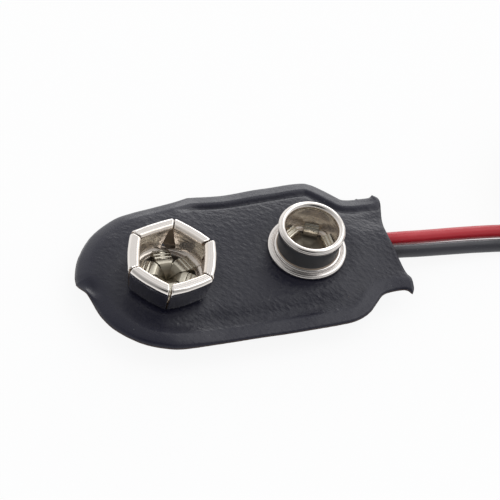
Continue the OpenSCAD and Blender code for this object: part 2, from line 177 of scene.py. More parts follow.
IMAGE_PX = 500
FOCAL_PX = 4000
SENSOR = 36
AZIMUTH = 32.007
ELEVATION = 50.175
ROLL = 13.827
AIM = Vector((1.59, 1.11, 2.85)) * MM
DISTANCE = 336.65 * MM


def view_direction():
    az, el = math.radians(AZIMUTH), math.radians(ELEVATION)
    return Vector((math.sin(az) * math.cos(el), math.cos(az) * math.cos(el), -math.sin(el)))


def make_camera():
    data = bpy.data.cameras.new("camera")
    data.sensor_width = SENSOR
    data.lens = FOCAL_PX / IMAGE_PX * SENSOR
    camera = put("camera", data)
    camera.rotation_mode = "QUATERNION"
    level = view_direction().to_track_quat("-Z", "Y")
    camera.rotation_quaternion = level @ Quaternion((0, 0, 1), math.radians(ROLL))
    camera.location = AIM - view_direction() * DISTANCE
    bpy.context.scene.camera = camera


make_camera()


# Materials

NOISE_ROUGH = 0.55
# Numbers of a Mix node's colour sockets
MIX_A = 6
MIX_B = 7
MIX_RESULT = 2


def feed(tree, socket, value):
    """Link a socket, or set its constant."""
    if isinstance(value, bpy.types.NodeSocket):
        tree.links.new(value, socket)
    else:
        socket.default_value = (*value, 1) if socket.type == "RGBA" else value


def add_node(tree, kind, inputs=None, **settings):
    """New node with its settings, and its sockets linked or set."""
    node = tree.nodes.new(kind)
    for key, value in settings.items():
        setattr(node, key, value)
    for key, value in (inputs or {}).items():
        feed(tree, node.inputs[key], value)
    return node


class Shader:
    """One procedural material; places are in millimetres on the part."""

    def __init__(self, name):
        self.material = bpy.data.materials.new(name)
        self.material.use_nodes = True
        self.tree = self.material.node_tree
        self.place = self.add("ShaderNodeTexCoord").outputs["Object"]

    def add(self, kind, inputs=None, **settings):
        return add_node(self.tree, kind, inputs, **settings)

    def cells(self, size, turn):
        """Place in units of cells of that size, one for all or (along, across, up), turned about Z."""
        scale = tuple(float(s) * MM for s in np.broadcast_to(size, 3))
        inputs = {"Vector": self.place, "Rotation": (0, 0, math.radians(turn)), "Scale": scale}
        return self.add("ShaderNodeMapping", inputs, vector_type="TEXTURE").outputs["Vector"]

    def noise(self, size, detail=3, turn=0):
        inputs = {"Vector": self.cells(size, turn), "Scale": 1, "Detail": detail, "Roughness": NOISE_ROUGH}
        return self.add("ShaderNodeTexNoise", inputs).outputs["Fac"]

    def voronoi(self, size, turn=0, feature="F1"):
        inputs = {"Vector": self.cells(size, turn), "Scale": 1}
        return self.add("ShaderNodeTexVoronoi", inputs, feature=feature).outputs["Distance"]

    def ranged(self, value, low, high, from_low=0.0, from_high=1.0):
        inputs = {"Value": value, "From Min": from_low, "From Max": from_high, "To Min": low, "To Max": high}
        return self.add("ShaderNodeMapRange", inputs).outputs["Result"]

    def math(self, operation, a, b):
        return self.add("ShaderNodeMath", {0: a, 1: b}, operation=operation).outputs["Value"]

    def blend(self, fac, a, b):
        inputs = {"Factor": fac, MIX_A: a, MIX_B: b}
        return self.add("ShaderNodeMix", inputs, data_type="RGBA").outputs[MIX_RESULT]

    def specked(self, colour, speck, size, near, far, share):
        """Colour with a share of specks, one to a cell, full at near from its middle and gone at far."""
        specks = self.ranged(self.voronoi(size), 1.0, 0.0, near, far)
        return self.blend(self.math("MULTIPLY", specks, share), colour, speck)

    def bump(self, height, depth, under=None):
        """Bump whose full height is that many millimetres."""
        inputs = {"Height": height, "Distance": depth * MM}
        if under is not None:
            inputs["Normal"] = under
        return self.add("ShaderNodeBump", inputs).outputs["Normal"]

    def finish(self, **sockets):
        for key, value in sockets.items():
            feed(self.tree, self.tree.nodes["Principled BSDF"].inputs[key.replace("_", " ")], value)
        return self.material


GRAIN_TURN = -48


def leatherette():
    """Embossed vinyl: slanting pebble grain on the raised top, smoother where it was welded."""
    s = Shader("leatherette")
    pebbles = s.voronoi((0.50, 0.34, 0.40), GRAIN_TURN, "SMOOTH_F1")
    creases = s.noise((0.37, 0.25, 0.30), turn=GRAIN_TURN)
    fine = s.noise((0.07, 0.05, 0.06), 2)
    broad = s.noise((3.0, 2.2, 3.0), 2)
    grain = s.add("ShaderNodeAttribute", attribute_name="grain").outputs["Fac"]
    relief = s.math("MULTIPLY", s.math("SUBTRACT", creases, s.math("MULTIPLY", pebbles, 0.8)), grain)
    normal = s.bump(relief, 0.044, s.bump(fine, 0.006))
    pressed = s.ranged(grain, 1.0, 0.0, 0.25, 0.75)
    colour = s.blend(broad, (0.007, 0.007, 0.016), (0.011, 0.011, 0.022))
    colour = s.blend(pressed, colour, (0.015, 0.015, 0.027))
    colour = s.specked(colour, (0.20, 0.20, 0.20), size=0.85, near=0.045, far=0.075, share=0.30)
    rough = s.math("ADD", s.ranged(grain, 0.27, 0.36), s.ranged(creases, 0.05, -0.05, 0.3, 0.7))
    return s.finish(Base_Color=colour, Roughness=rough, Normal=normal, IOR=1.47)


def cut_edge():
    """Cut face of the sheet: brownish, dull and torn."""
    s = Shader("cut_edge")
    torn = s.noise((0.25, 0.25, 0.06), 4)
    colour = s.blend(torn, (0.030, 0.018, 0.014), (0.085, 0.058, 0.046))
    return s.finish(Base_Color=colour, Roughness=s.ranged(torn, 0.75, 0.55), Normal=s.bump(torn, 0.04))


def plated(name, colour, shade, rough, pit_depth, metallic=1.0):
    """Plated metal with a faint haze, fine ripples and small pits."""
    s = Shader(name)
    ripples = s.noise(0.5)
    haze = s.noise((0.8, 0.8, 0.5))
    pits = s.ranged(s.voronoi(0.30), 0.0, 1.0, 0.02, 0.10)
    normal = s.bump(pits, pit_depth, s.bump(ripples, 0.0008))
    tone = s.blend(haze, colour, shade)
    sheen = s.ranged(haze, *rough, 0.3, 0.7)
    return s.finish(Base_Color=tone, Metallic=metallic, Roughness=sheen, Normal=normal)


def painted_dark_neck():
    """Plating on the stud's neck painted nearly black: a painted reflection of the dark pad, with pale specks
    of dust.
    """
    s = Shader("nickel_neck_painted_dark")
    patches = s.noise((0.5, 0.5, 0.7), 4)
    colour = s.blend(patches, (0.042, 0.043, 0.047), (0.060, 0.060, 0.062))
    colour = s.specked(colour, (0.55, 0.55, 0.55), size=0.55, near=0.03, far=0.06, share=0.5)
    return s.finish(Base_Color=colour, Metallic=0.4, Roughness=s.ranged(patches, 0.42, 0.55))


def insulation(name, colour, shade, rough):
    """Extruded wire insulation: glossy, with drag lines along it and a few specks."""
    s = Shader(name)
    drag = s.noise((2.5, 0.10, 0.10))
    haze = s.noise((0.9, 0.5, 0.5))
    tone = s.blend(haze, colour, shade)
    tone = s.specked(tone, (0.35, 0.30, 0.30), size=0.7, near=0.03, far=0.06, share=0.4)
    sheen = s.ranged(haze, *rough, 0.3, 0.7)
    return s.finish(Base_Color=tone, Roughness=sheen, Normal=s.bump(drag, 0.010), IOR=1.52)


def fibreboard():
    """Pressed board: brown fibres in every direction."""
    s = Shader("fibreboard")
    fibres = s.noise((1.2, 0.10, 0.10), 5, 25)
    crossing = s.noise((0.10, 1.0, 0.10), 5, 10)
    both = s.math("MULTIPLY", fibres, crossing)
    colour = s.blend(s.ranged(both, 0.0, 1.0, 0.15, 0.40), (0.12, 0.075, 0.040), (0.26, 0.18, 0.105))
    return s.finish(Base_Color=colour, Roughness=0.85, Normal=s.bump(both, 0.05))


def bare_metal(name, colour, shade, frost, rough, depth):
    """Unplated metal with that noise for its frost: solder, or fine wires laid side by side."""
    s = Shader(name)
    dull = s.noise(*frost)
    tone = s.blend(dull, colour, shade)
    sheen = s.ranged(dull, *rough)
    return s.finish(Base_Color=tone, Metallic=1.0, Roughness=sheen, Normal=s.bump(dull, depth))


def strands(name, colour, shade):
    return bare_metal(name, colour, shade, ((0.30, 0.06, 0.06), 3, 20), (0.40, 0.22), 0.008)


def tie_film():
    """Film round the tie: off-white, with embossed lines across it."""
    s = Shader("tie_film")
    lines = s.noise((0.16, 3.0, 0.16), 2, 20)
    tone = s.noise(1.0)
    colour = s.blend(tone, (0.66, 0.655, 0.63), (0.78, 0.775, 0.75))
    return s.finish(Base_Color=colour, Roughness=s.ranged(tone, 0.42, 0.60), Normal=s.bump(lines, 0.02))


LEATHERETTE = leatherette()
CUT_EDGE = cut_edge()
NICKEL = plated("nickel", (0.87, 0.83, 0.79), (0.80, 0.75, 0.71), (0.07, 0.13), 0.0015)
# painted reflection: the inside finish is a duller copy of the nickel with a warmer, lighter tint standing for
# the light the inner walls throw on each other
NICKEL_INSIDE_PAINTED = plated("nickel_inside_painted_reflection", (0.93, 0.85, 0.77), (0.84, 0.76, 0.68), (0.16, 0.24), 0.001, 0.8)
NICKEL_WALL = plated("nickel_wall", (0.86, 0.85, 0.84), (0.76, 0.75, 0.74), (0.12, 0.18), 0.0005)
# painted shade: a dark brown copy of the nickel on the socket's cut edges, under its hems and on its corner
# web; on the stud it is a brown ring at the neck's foot
NICKEL_BROWN_AND_SHADE = plated("nickel_brown_and_painted_shade", (0.34, 0.27, 0.21), (0.24, 0.19, 0.15), (0.30, 0.42), 0.001, 0.8)
NICKEL_TURNED = plated("nickel_turned", (0.80, 0.76, 0.73), (0.70, 0.66, 0.63), (0.12, 0.18), 0.0005, 0.95)
# painted reflection: the stud's neck is painted nearly black for the dark pad it mirrors; its pale specks are
# dust
NICKEL_NECK_PAINTED_DARK = painted_dark_neck()
RIVET_METAL = plated("rivet", (0.70, 0.66, 0.56), (0.56, 0.52, 0.43), (0.22, 0.32), 0.002)
# painted shade: darker copies of the rivet metal for the middle of each rivet's dish, darkest in the stud's
# deep bore
RIVET_BORE_SHADE = plated("rivet_bore_painted_shade", (0.36, 0.33, 0.26), (0.26, 0.23, 0.18), (0.28, 0.38), 0.002)
RIVET_DEEP_SHADE = plated("rivet_deep_painted_shade", (0.17, 0.15, 0.12), (0.11, 0.10, 0.08), (0.30, 0.40), 0.002)
# painted shade: a nearly black copy of the rivet metal for the floor of the open gaps between the lugs
RIVET_GAP_SHADE = plated("rivet_gap_painted_shade", (0.075, 0.062, 0.050), (0.050, 0.042, 0.034), (0.40, 0.50), 0.001, 0.5)
RED_PVC = insulation("red_pvc", (0.54, 0.022, 0.036), (0.47, 0.017, 0.028), (0.30, 0.42))
BLACK_PVC = insulation("black_pvc", (0.023, 0.023, 0.030), (0.031, 0.031, 0.039), (0.32, 0.44))
BOARD = fibreboard()
SOLDER = bare_metal("solder", (0.42, 0.42, 0.44), (0.66, 0.66, 0.68), (0.18, 4), (0.42, 0.22), 0.02)
COPPER = strands("copper", (0.80, 0.42, 0.24), (0.62, 0.30, 0.16))
TINNED = strands("tinned", (0.72, 0.71, 0.69), (0.55, 0.54, 0.52))
TIE = tie_film()


# Leads: straight out of the tail, down to the surface, then wound into one coil outside the view

LEAD_D = 1.15
LEAD_L = 150
CORE_D = 0.5
TIP_L = 5
TIP_LEAN = 12
COIL = np.array((35, 1.5))
COIL_Z = 0.3
TURN_PITCH = 1.2
RED_TURN_R = 5.75
BLACK_TURN_R = RED_TURN_R + TURN_PITCH
RED_START = -112
BLACK_START = -108
TURN_POINTS = 48
RED_ROUTE = [(14.1, 0.3, 1.45), (15.1, 0.17, 1.43), (16.1, 0.06, 1.36), (17.2, -0.04, 1.25),
             (18.4, -0.12, 1.11), (19.7, -0.2, 0.97), (21, -0.3, 0.84), (22.2, -0.42, 0.74),
             (23.4, -0.57, 0.66), (24.6, -0.76, 0.6), (25.5, -0.98, 0.58), (26.4, -1.28, 0.58),
             (27.3, -1.62, 0.58), (28.2, -1.98, 0.58), (28.8, -2.22, 0.59), (29.3, -2.42, 0.61)]
BLACK_ROUTE = [(14.1, -1.1, 1.45), (15.1, -1.26, 1.43), (16.1, -1.4, 1.36), (17.3, -1.53, 1.26),
               (18.5, -1.63, 1.14), (19.8, -1.73, 0.99), (21.2, -1.85, 0.85), (22.4, -1.99, 0.74),
               (23.6, -2.15, 0.65), (24.6, -2.33, 0.6), (25.6, -2.59, 0.58), (26.5, -2.87, 0.58),
               (27.4, -3.17, 0.58), (28.1, -3.41, 0.58), (28.8, -3.67, 0.6)]


def lead_path(route, radius, start):
    """Points of a lead to its full length, and the angle and place at its end."""
    first_z = COIL_Z + LEAD_D / 2
    begin = math.radians(start)
    run = spline([*route, polar(COIL, radius, begin, first_z)], 4)
    rest = LEAD_L - np.linalg.norm(np.diff(run, axis=0), axis=1).sum()
    turns = rest / math.hypot(2 * math.pi * radius, TURN_PITCH)
    count = math.ceil(turns * TURN_POINTS)
    angles = begin + np.linspace(0, 2 * math.pi * turns, count + 1)
    heights = first_z + np.linspace(0, turns * TURN_PITCH, count + 1)
    coil = np.array([polar(COIL, radius, a, z) for a, z in zip(angles, heights)])
    return np.vstack([run, coil[1:]]), angles[-1], coil[-1]


def tip_strands(angle, place):
    """Seven twisted strands that go on from the end of a lead."""
    ahead, side = (np.append(way, 0) for way in facing(math.degrees(angle) + 90 + TIP_LEAN))
    up = np.array((0, 0, 1))
    strand_d = CORE_D / 3
    turns = 1.5
    ragged = 0.12
    routes = [[place + ahead * s for s in np.linspace(0, TIP_L, 24)]]
    for k in range(6):
        lengths = np.linspace(0, TIP_L - ragged * (k % 3), 40)
        swirl = math.radians(60 * k) + 2 * math.pi * turns * lengths / TIP_L
        routes.append([place + ahead * s + strand_d * (math.cos(a) * side + math.sin(a) * up)
                       for s, a in zip(lengths, swirl)])
    return routes, strand_d


def make_lead(colour, route, radius, start, material):
    path, angle, end = lead_path(route, radius, start)
    nodes = (f"{colour}_lead", f"{colour}_coil")
    lead = make_wire(f"{colour}_lead_cord", [path], LEAD_D, material, nodes)
    routes, strand_d = tip_strands(angle, end)
    tip = make_wire(f"{colour}_tip_strands", routes, strand_d, TINNED, (f"{colour}_tip",))


make_lead("red", RED_ROUTE, RED_TURN_R, RED_START, RED_PVC)
make_lead("black", BLACK_ROUTE, BLACK_TURN_R, BLACK_START, BLACK_PVC)


# Leads inside the pad

RED_INNER = [(14.1, 0.3, 1.45), (13, 0.4, 1.39), (12, 0.6, 1.28), (11, 0.95, 1.155), (10, 1.45, 1.125),
             (8.8, 2.15, 1.125), (7.4, 3, 1.125), (5.6, 3.7, 1.125), (3.5, 4, 1.125), (1.5, 3.8, 1.125),
             (0, 3.2, 1.125), (-1.35, 2.5, 1.125), (-2.35, 2, 1.125), (-4.02, 1.16, 1.125)]
BLACK_INNER = [(14.1, -1.1, 1.45), (13, -1.02, 1.39), (12, -0.85, 1.28), (11.2, -0.66, 1.165),
               (10.35, -0.49, 1.125), (8.93, -0.32, 1.125)]

make_wire("red_inner_wire", [spline(RED_INNER, 5)], LEAD_D, RED_PVC, ("red_inner_lead",))
make_wire("black_inner_wire", [spline(BLACK_INNER, 5)], LEAD_D, BLACK_PVC, ("black_inner_lead",))


# Places taken from the solids

socket_low, socket_high = box_mm("hex_socket")
stud_low, stud_high = box_mm("round_stud")
SOCKET = (socket_low + socket_high) / 2
STUD = (stud_low + stud_high) / 2
PLATEAU_Z = socket_low[2]
SOCKET_H = socket_high[2] - PLATEAU_Z
STUD_H = stud_high[2] - PLATEAU_Z
# Height of the weld between the sheets, and each sheet's thickness there
WELD_Z = 2.05
WELD_T = 0.2
BOARD_TOP_Z = box_mm("stiffener_board")[1][2]
COVER_T = PLATEAU_Z - BOARD_TOP_Z
HEAD_LOW_Z = box_mm("socket_rivet")[0][2]
HEAD_TOP_Z = box_mm("stiffener_board")[0][2]
SHEET_T = 0.25


# Covers: two sheets cut to one outline and welded round the border

PAD_SKEW = -3.4
PAD_SHIFT = 0.15
# Outline in the pad's own frame, from the far corner of the tail round the far side and the round end;
# a stretch ends where the cut turns a corner
OUTLINE = [
    [(14.16, 5.36), (13.8, 5.14), (12.9, 5.22), (12.7, 5.32), (12.5, 5.24), (11.5, 5.4), (11.0, 5.8),
     (10.1, 6.75), (9.2, 7.55), (8.2, 7.86), (5.0, 7.88), (1.2, 7.82), (-1.8, 8.14)],
    [(-1.8, 8.14), (-3.2, 7.92), (-5, 7.7), (-7, 7.46), (-8.8, 7.05), (-11, 5.75), (-12.7, 3.75), (-13.5, 2),
     (-13.68, 1.0)],
    [(-13.68, 1.0), (-13.4, 0), (-12.96, -1.4), (-12.6, -2.9), (-11.8, -4.4), (-10.2, -6.0), (-8.3, -6.94),
     (-6.6, -7.3), (-3, -7.38), (0, -7.4), (4, -7.45), (7.4, -7.4), (8.7, -7.2), (9.8, -6.7), (10.7, -5.9),
     (11.5, -5.15), (12.3, -4.92), (13.3, -4.95), (13.8, -5.15), (14.06, -5.6)],
    [(14.06, -5.6), (14.3, -5.2), (14.45, -4.6), (14.52, -3.9), (14.3, -3.3), (14.12, -2.0), (13.98, -0.6),
     (13.88, 0.6), (13.88, 1.6), (14.12, 2.8), (14.46, 4.0), (14.5, 4.8), (14.16, 5.36)],
]
TAIL_END = 3
EDGE_STEP = 0.09
# Insets at which points follow the border, close together where the sheet is creased
BORDER_INSETS = (0.04, 0.1, 0.18, 0.28, 0.42, 0.6, 0.78, 0.9, 0.98, 1.05, 1.12, 1.19, 1.26, 1.33, 1.4, 1.48,
                 1.58, 1.72, 1.9, 2.1)
FIELD_STEP = 0.2
SHANK_HOLE_R = 1.25
HOLE_POINTS = 48
# Middle, top and floor of the opening at the tail's end, and half the width of the sheet's arch there
MOUTH_Y = 0.286
MOUTH_TOP_Z = 2.575
MOUTH_FLOOR_Z = 0.325
ARCH_HALF_W = 1.75
# Cut face of a sheet: where its points lie, how far it bulges and how rough it is
CUT_SHARES = (0.25, 0.5, 0.75)
CUT_BULGE = 0.025
CUT_ROUGH = 0.012
SKIN, CUT = range(2)

# Soft forms of the sheets: stretches where the far side, each side's flat weld, the shoulder and the tail begin
FAR_SIDE = (-1.5, 1.5)
NEAR_WELD_X = (-8.5, -2.5)
FAR_WELD_X = (-3.6, -1.0)
SHOULDER_X = (6.0, 9.0)
TAIL_X = (9.8, 13.6)
# Waves of the border, and the curl of the tail's corners
WAVE_H = 0.06
WAVE_L = 2.6
WAVE_SEED = 3.1
WAVE_INSETS = (0.9, 2.4)
CURL_H = 0.14
CURL_X = (12.4, 14.6)
CURL_Y = (3.2, 5.4)
# Droop of the near and the far edge, welded flat or soft, and its width
FLAT_DROOP = (0.07, 0.27)
FLAT_W = 0.95
SOFT_DROOP = (0.04, 0.34)
SOFT_W = 1.1
# Lift of the far weld, and where it ends
WELD_LIFT = 0.11
WELD_END = 1.5
# Pinch in the round end: its place, its lift of the edge and the share of the rise it takes out
PINCH_Y = -0.35
PINCH_W = 0.8
PINCH_X = (-11.8, -12.9)
PINCH_LIFT = 0.42
PINCH_INSET = 0.9
PINCH_SHARE = 0.85
PINCH_FADE = (0.7, 2.0)
# Rise of the upper sheet: sharp, then gentle on the far side, even on the near one, a pillow at the round end
FAR_STEP = (1.46, 1.90)
FAR_SHARE = 0.45
GENTLE_AT = 1.5
GENTLE_W = 3.5
NEAR_STEP = (0.6, 3.5)
PILLOW_W = 3.4
# Step of the lower sheet
BOTTOM_STEP = (1.15, 2.35)
# Valley behind the weld, along the side and at the shoulder
VALLEY_AT = (1.46, 1.54)
VALLEY_W = (0.22, 0.42)
VALLEY_DEPTH = (0.105, 0.085)
NEAR_VALLEY_DEPTH = 0.02
VALLEY_END_X = (11.5, 13.5)
# Rise and drop of the tail's sides
TAIL_RISE = 0.12
TAIL_DROP = 0.04
# Dimple round each snap, and where the open top begins beyond it
DIMPLE_H = 0.07
DIMPLE_R = 3.5
DIMPLE_W = 0.8
OPEN_R = (3.6, 5.0)
# Small rises of the open top, and its fall towards the near side
RISE_H = 0.035
RISE_L = 3.2
RISE_SEED = 7.7
RISE_INSETS = (1.2, 2.4)
CROWN_H = 0.38
CROWN_W = 6
CROWN_INSETS = (1.0, 2.4)
# Rolled edges, and the gap between the sheets at the weld
TOP_ROLL = 0.10
BOTTOM_ROLL = 0.16
ROLL_W = 0.2
SEAM = 0.005
# Share of the grain on the pressed border, near and far, and on the round end
PRESSED_GRAIN = (0.42, 0.22)
GRAIN_INSETS = (1.1, 1.7)
END_GRAIN = 0.55
GRAIN_X = (-9.5, -4.5)


def to_row(points):
    """Places in the pad's frame, in the part's frame."""
    along, across = facing(PAD_SKEW)
    return points[:, :1] * along + (points[:, 1:] + PAD_SHIFT) * across


def to_pad(point):
    """A place in the part's frame, in the pad's frame."""
    along, across = facing(PAD_SKEW)
    return np.array((point @ along, point @ across - PAD_SHIFT))


def spaced(line, step):
    """The same line with points at even steps."""
    along = np.concatenate([[0], np.cumsum(np.linalg.norm(np.diff(line, axis=0), axis=1))])
    places = np.linspace(0, along[-1], max(2, round(along[-1] / step) + 1))
    return np.stack([np.interp(places, along, line[:, k]) for k in (0, 1)], 1)


def distance(points, line):
    """Distance of each point from a polyline."""
    a, b = line[:-1], line[1:]
    ab = b - a
    length = (ab * ab).sum(1)
    best = np.full(len(points), 1e9)
    for start in range(0, len(points), 2000):
        p = points[start:start + 2000, None, :]
        t = np.clip(((p - a) * ab).sum(2) / length, 0, 1)
        gap = p - (a + t[..., None] * ab)
        best[start:start + 2000] = np.sqrt((gap * gap).sum(2).min(1))
    return best


def inside(points, loop):
    """Whether each point lies inside a closed loop."""
    a, b = loop, np.roll(loop, -1, axis=0)
    x, y = points[:, 0, None], points[:, 1, None]
    spans = (a[:, 1] > y) != (b[:, 1] > y)
    rise = np.where(b[:, 1] == a[:, 1], 1e-9, b[:, 1] - a[:, 1])
    cross = x < a[:, 0] + (y - a[:, 1]) / rise * (b[:, 0] - a[:, 0])
    return (spans & cross).sum(1) % 2 == 1


class PadPlan:
    """Flat layout of a cover: its points and triangles in the pad frame, and each point's inset."""

    def __init__(self, holes):
        runs = [spaced(spline(run, 12), EDGE_STEP) for run in OUTLINE]
        self.edge = np.vstack([run[:-1] for run in runs])
        loop = np.vstack([self.edge, self.edge[:1]])
        sides = [line for k, line in enumerate(runs) if k != TAIL_END]
        angles = np.linspace(0, 2 * math.pi, HOLE_POINTS, endpoint=False)
        rings = [np.array([polar(centre, SHANK_HOLE_R, a, 0)[:2] for a in angles]) for centre in holes]
        field = self.field_points(loop, rings)
        points = np.vstack([self.edge, *rings, field])
        edges = []
        first = 0
        for ring in (self.edge, *rings):
            count = len(ring)
            edges += [(first + k, first + (k + 1) % count) for k in range(count)]
            first += count
        out = delaunay_2d_cdt([Vector(p) for p in points], edges, [], 0, 1e-6, False)
        self.points = np.array([tuple(p) for p in out[0]])
        self.x, self.y = self.points.T
        self.far = smooth(*FAR_SIDE, self.y)
        triangles = np.array(out[2])
        middle = self.points[triangles].mean(1)
        keep = inside(middle, self.edge)
        for centre in holes:
            keep &= np.linalg.norm(middle - centre, axis=1) > SHANK_HOLE_R * 0.995
        self.triangles = triangles[keep]
        self.side_inset = np.min([distance(self.points, line) for line in sides], axis=0)
        self.edge_inset = distance(self.points, loop)

    def field_points(self, loop, rings):
        ahead = np.roll(self.edge, -1, axis=0) - np.roll(self.edge, 1, axis=0)
        normal = np.stack([-ahead[:, 1], ahead[:, 0]], 1) / np.linalg.norm(ahead, axis=1)[:, None]
        found = []
        for inset in BORDER_INSETS:
            ring = self.edge + inset * normal
            found.append(ring[(distance(ring, loop) > inset * 0.97) & inside(ring, self.edge)])
        low, high = self.edge.min(0), self.edge.max(0)
        rows = np.arange(low[1], high[1], FIELD_STEP * math.sqrt(3) / 2)
        grid = np.array([(x + FIELD_STEP / 2 * (k % 2), y) for k, y in enumerate(rows)
                         for x in np.arange(low[0], high[0], FIELD_STEP)])
        grid = grid[inside(grid, self.edge)]
        found.append(grid[distance(grid, loop) > BORDER_INSETS[-1] + FIELD_STEP * 0.7])
        points = np.vstack(found)
        for ring in rings:
            points = points[np.linalg.norm(points - ring.mean(0), axis=1) > SHANK_HOLE_R + FIELD_STEP * 0.5]
        return points

    def border_edges(self):
        """Edges of the plan that belong to one triangle, in that triangle's direction."""
        uses = dict.fromkeys(e for a, b, c in self.triangles for e in ((a, b), (b, c), (c, a)))
        return [e for e in uses if (e[1], e[0]) not in uses]


def shell(plan, upper, lower):
    """Points and faces of a sheet between two heights, with a slightly bulging cut face round it."""
    row = to_row(plan.points)
    count = len(row)
    faces = [tuple(t) for t in plan.triangles] + [tuple(t + count)[::-1] for t in plan.triangles]
    finish = [SKIN] * len(faces)
    border = plan.border_edges()
    rim = {}
    for a, b in border:
        ahead = row[b] - row[a]
        out = np.array((ahead[1], -ahead[0])) / max(np.linalg.norm(ahead), 1e-9)
        for end in (a, b):
            rim.setdefault(end, []).append(out)
    cut = []
    down = {}
    for place, outs in rim.items():
        out = np.mean(outs, axis=0)
        down[place] = [place]
        for share in CUT_SHARES:
            z = mix(upper[place], lower[place], share)
            rough = CUT_ROUGH * noise.noise(Vector((row[place][0] * 4, row[place][1] * 4, z * 8)))
            down[place].append(2 * count + len(cut))
            cut.append((*(row[place] + out * (CUT_BULGE * math.sin(math.pi * share) + rough)), z))
        down[place].append(place + count)
    for a, b in border:
        for k in range(len(CUT_SHARES) + 1):
            faces.append((down[b][k], down[a][k], down[a][k + 1], down[b][k + 1]))
            finish.append(CUT)
    return np.vstack([np.column_stack([row, upper]), np.column_stack([row, lower]), cut]), faces, finish


def fading(inset, width):
    """1 at the edge, falling evenly to 0 at that width."""
    return 1 - np.clip(inset / width, 0, 1)


def welded_flat(plan):
    """Share of the flat weld, which begins beside the socket on the near side and past it on the far one."""
    return mix(smooth(*NEAR_WELD_X, plan.x), smooth(*FAR_WELD_X, plan.x), plan.far)


def pinched(plan):
    """Share of the pinch in the round end's border."""
    return hump(plan.y, PINCH_Y, PINCH_W) * smooth(*PINCH_X, plan.x)


def tail_arch(y):
    """Share of the full height across the tail, where the sheet passes over the leads."""
    return 1 / (1 + ((y - MOUTH_Y) / ARCH_HALF_W) ** 4)


def border_warp(plan):
    """Waves, curl, droop and pinch of the border, which both sheets share; the middle stays flat."""
    inset = plan.side_inset
    waves = WAVE_H * uneven(plan.points, WAVE_L, WAVE_SEED) * (1 - smooth(*WAVE_INSETS, inset))
    curl = CURL_H * smooth(*CURL_X, plan.x) * smooth(*CURL_Y, np.abs(plan.y - 0.2))
    flat_weld = mix(*FLAT_DROOP, plan.far) * fading(inset, FLAT_W)
    flat_weld -= WELD_LIFT * plan.far * (1 - smooth(FLAT_W, WELD_END, inset))
    soft_weld = mix(*SOFT_DROOP, plan.far) * fading(inset, SOFT_W) ** 1.4
    droop = mix(soft_weld, flat_weld, welded_flat(plan))
    return waves + curl - droop + PINCH_LIFT * pinched(plan) * fading(plan.edge_inset, PINCH_INSET) ** 1.3


def top_cover_heights(plan):
    inset = plan.side_inset
    flange = WELD_Z + WELD_T
    warp = border_warp(plan)
    crisp = welded_flat(plan)
    gentle = 1 - fading(inset - GENTLE_AT, GENTLE_W) ** 2
    far_step = FAR_SHARE * smooth(*FAR_STEP, inset) + (1 - FAR_SHARE) * gentle
    step = mix(smooth(*NEAR_STEP, inset), far_step, plan.far)
    pillow = np.sqrt(1 - fading(inset, PILLOW_W) ** 2)
    kept = 1 - PINCH_SHARE * pinched(plan) * (1 - smooth(*PINCH_FADE, inset))
    crease = mix(pillow ** 1.2, step, crisp) * kept
    tail_rise = TAIL_RISE + (MOUTH_TOP_Z - flange) * tail_arch(plan.y)
    rise = mix(PLATEAU_Z - flange, tail_rise, smooth(*TAIL_X, plan.x))
    shoulder = smooth(*SHOULDER_X, plan.x)
    valley = hump(inset, mix(*VALLEY_AT, shoulder), mix(*VALLEY_W, shoulder))
    depth = mix(NEAR_VALLEY_DEPTH, mix(*VALLEY_DEPTH, shoulder), plan.far)
    groove = depth * crisp * (1 - smooth(*VALLEY_END_X, plan.x)) * valley
    snaps = [to_pad(snap[:2]) for snap in (SOCKET, STUD)]
    from_snaps = np.min([np.linalg.norm(plan.points - snap, axis=1) for snap in snaps], axis=0)
    open_top = smooth(*OPEN_R, from_snaps)
    dimple = DIMPLE_H * hump(from_snaps, DIMPLE_R, DIMPLE_W)
    rises = RISE_H * uneven(plan.points, RISE_L, RISE_SEED) * open_top * smooth(*RISE_INSETS, inset)
    crown = CROWN_H * np.clip(-plan.y / CROWN_W, 0, 1) ** 2 * open_top * smooth(*CROWN_INSETS, inset)
    z = flange + crease * rise - groove - dimple - crown + rises + warp
    lower = np.maximum(z + groove - COVER_T, WELD_Z + SEAM + warp)
    return z - TOP_ROLL * fading(plan.edge_inset, ROLL_W) ** 2, lower


def bottom_cover_heights(plan):
    flange = WELD_Z - WELD_T
    warp = border_warp(plan)
    tail_drop = TAIL_DROP + (flange - MOUTH_FLOOR_Z) * tail_arch(plan.y)
    drop = mix(flange, tail_drop, smooth(*TAIL_X, plan.x))
    z = flange - smooth(*BOTTOM_STEP, plan.side_inset) * drop + warp
    upper = np.minimum(z + COVER_T, WELD_Z - SEAM + warp)
    return upper, np.maximum(z + BOTTOM_ROLL * fading(plan.edge_inset, ROLL_W) ** 2, 0.0)


def make_cover(name, node, holes, heights):
    plan = PadPlan(holes)
    points, faces, finish = shell(plan, *heights(plan))
    worked = mix(mix(*PRESSED_GRAIN, plan.far), 1, smooth(*GRAIN_INSETS, plan.side_inset))
    worked *= mix(END_GRAIN, 1, smooth(*GRAIN_X, plan.x))
    grain = np.concatenate([worked, worked, np.zeros(len(points) - 2 * len(worked))])
    materials = [LEATHERETTE, CUT_EDGE]
    cover = make_piece(name, points, faces, materials, (node,), 50, finish, grain)


make_cover("top_sheet", "top_cover", [to_pad(SOCKET[:2]), to_pad(STUD[:2])], top_cover_heights)
make_cover("bottom_sheet", "bottom_cover", [], bottom_cover_heights)


# Hexagonal socket: six bowed leaves with hemmed lips

SOCKET_TURN = 6.9
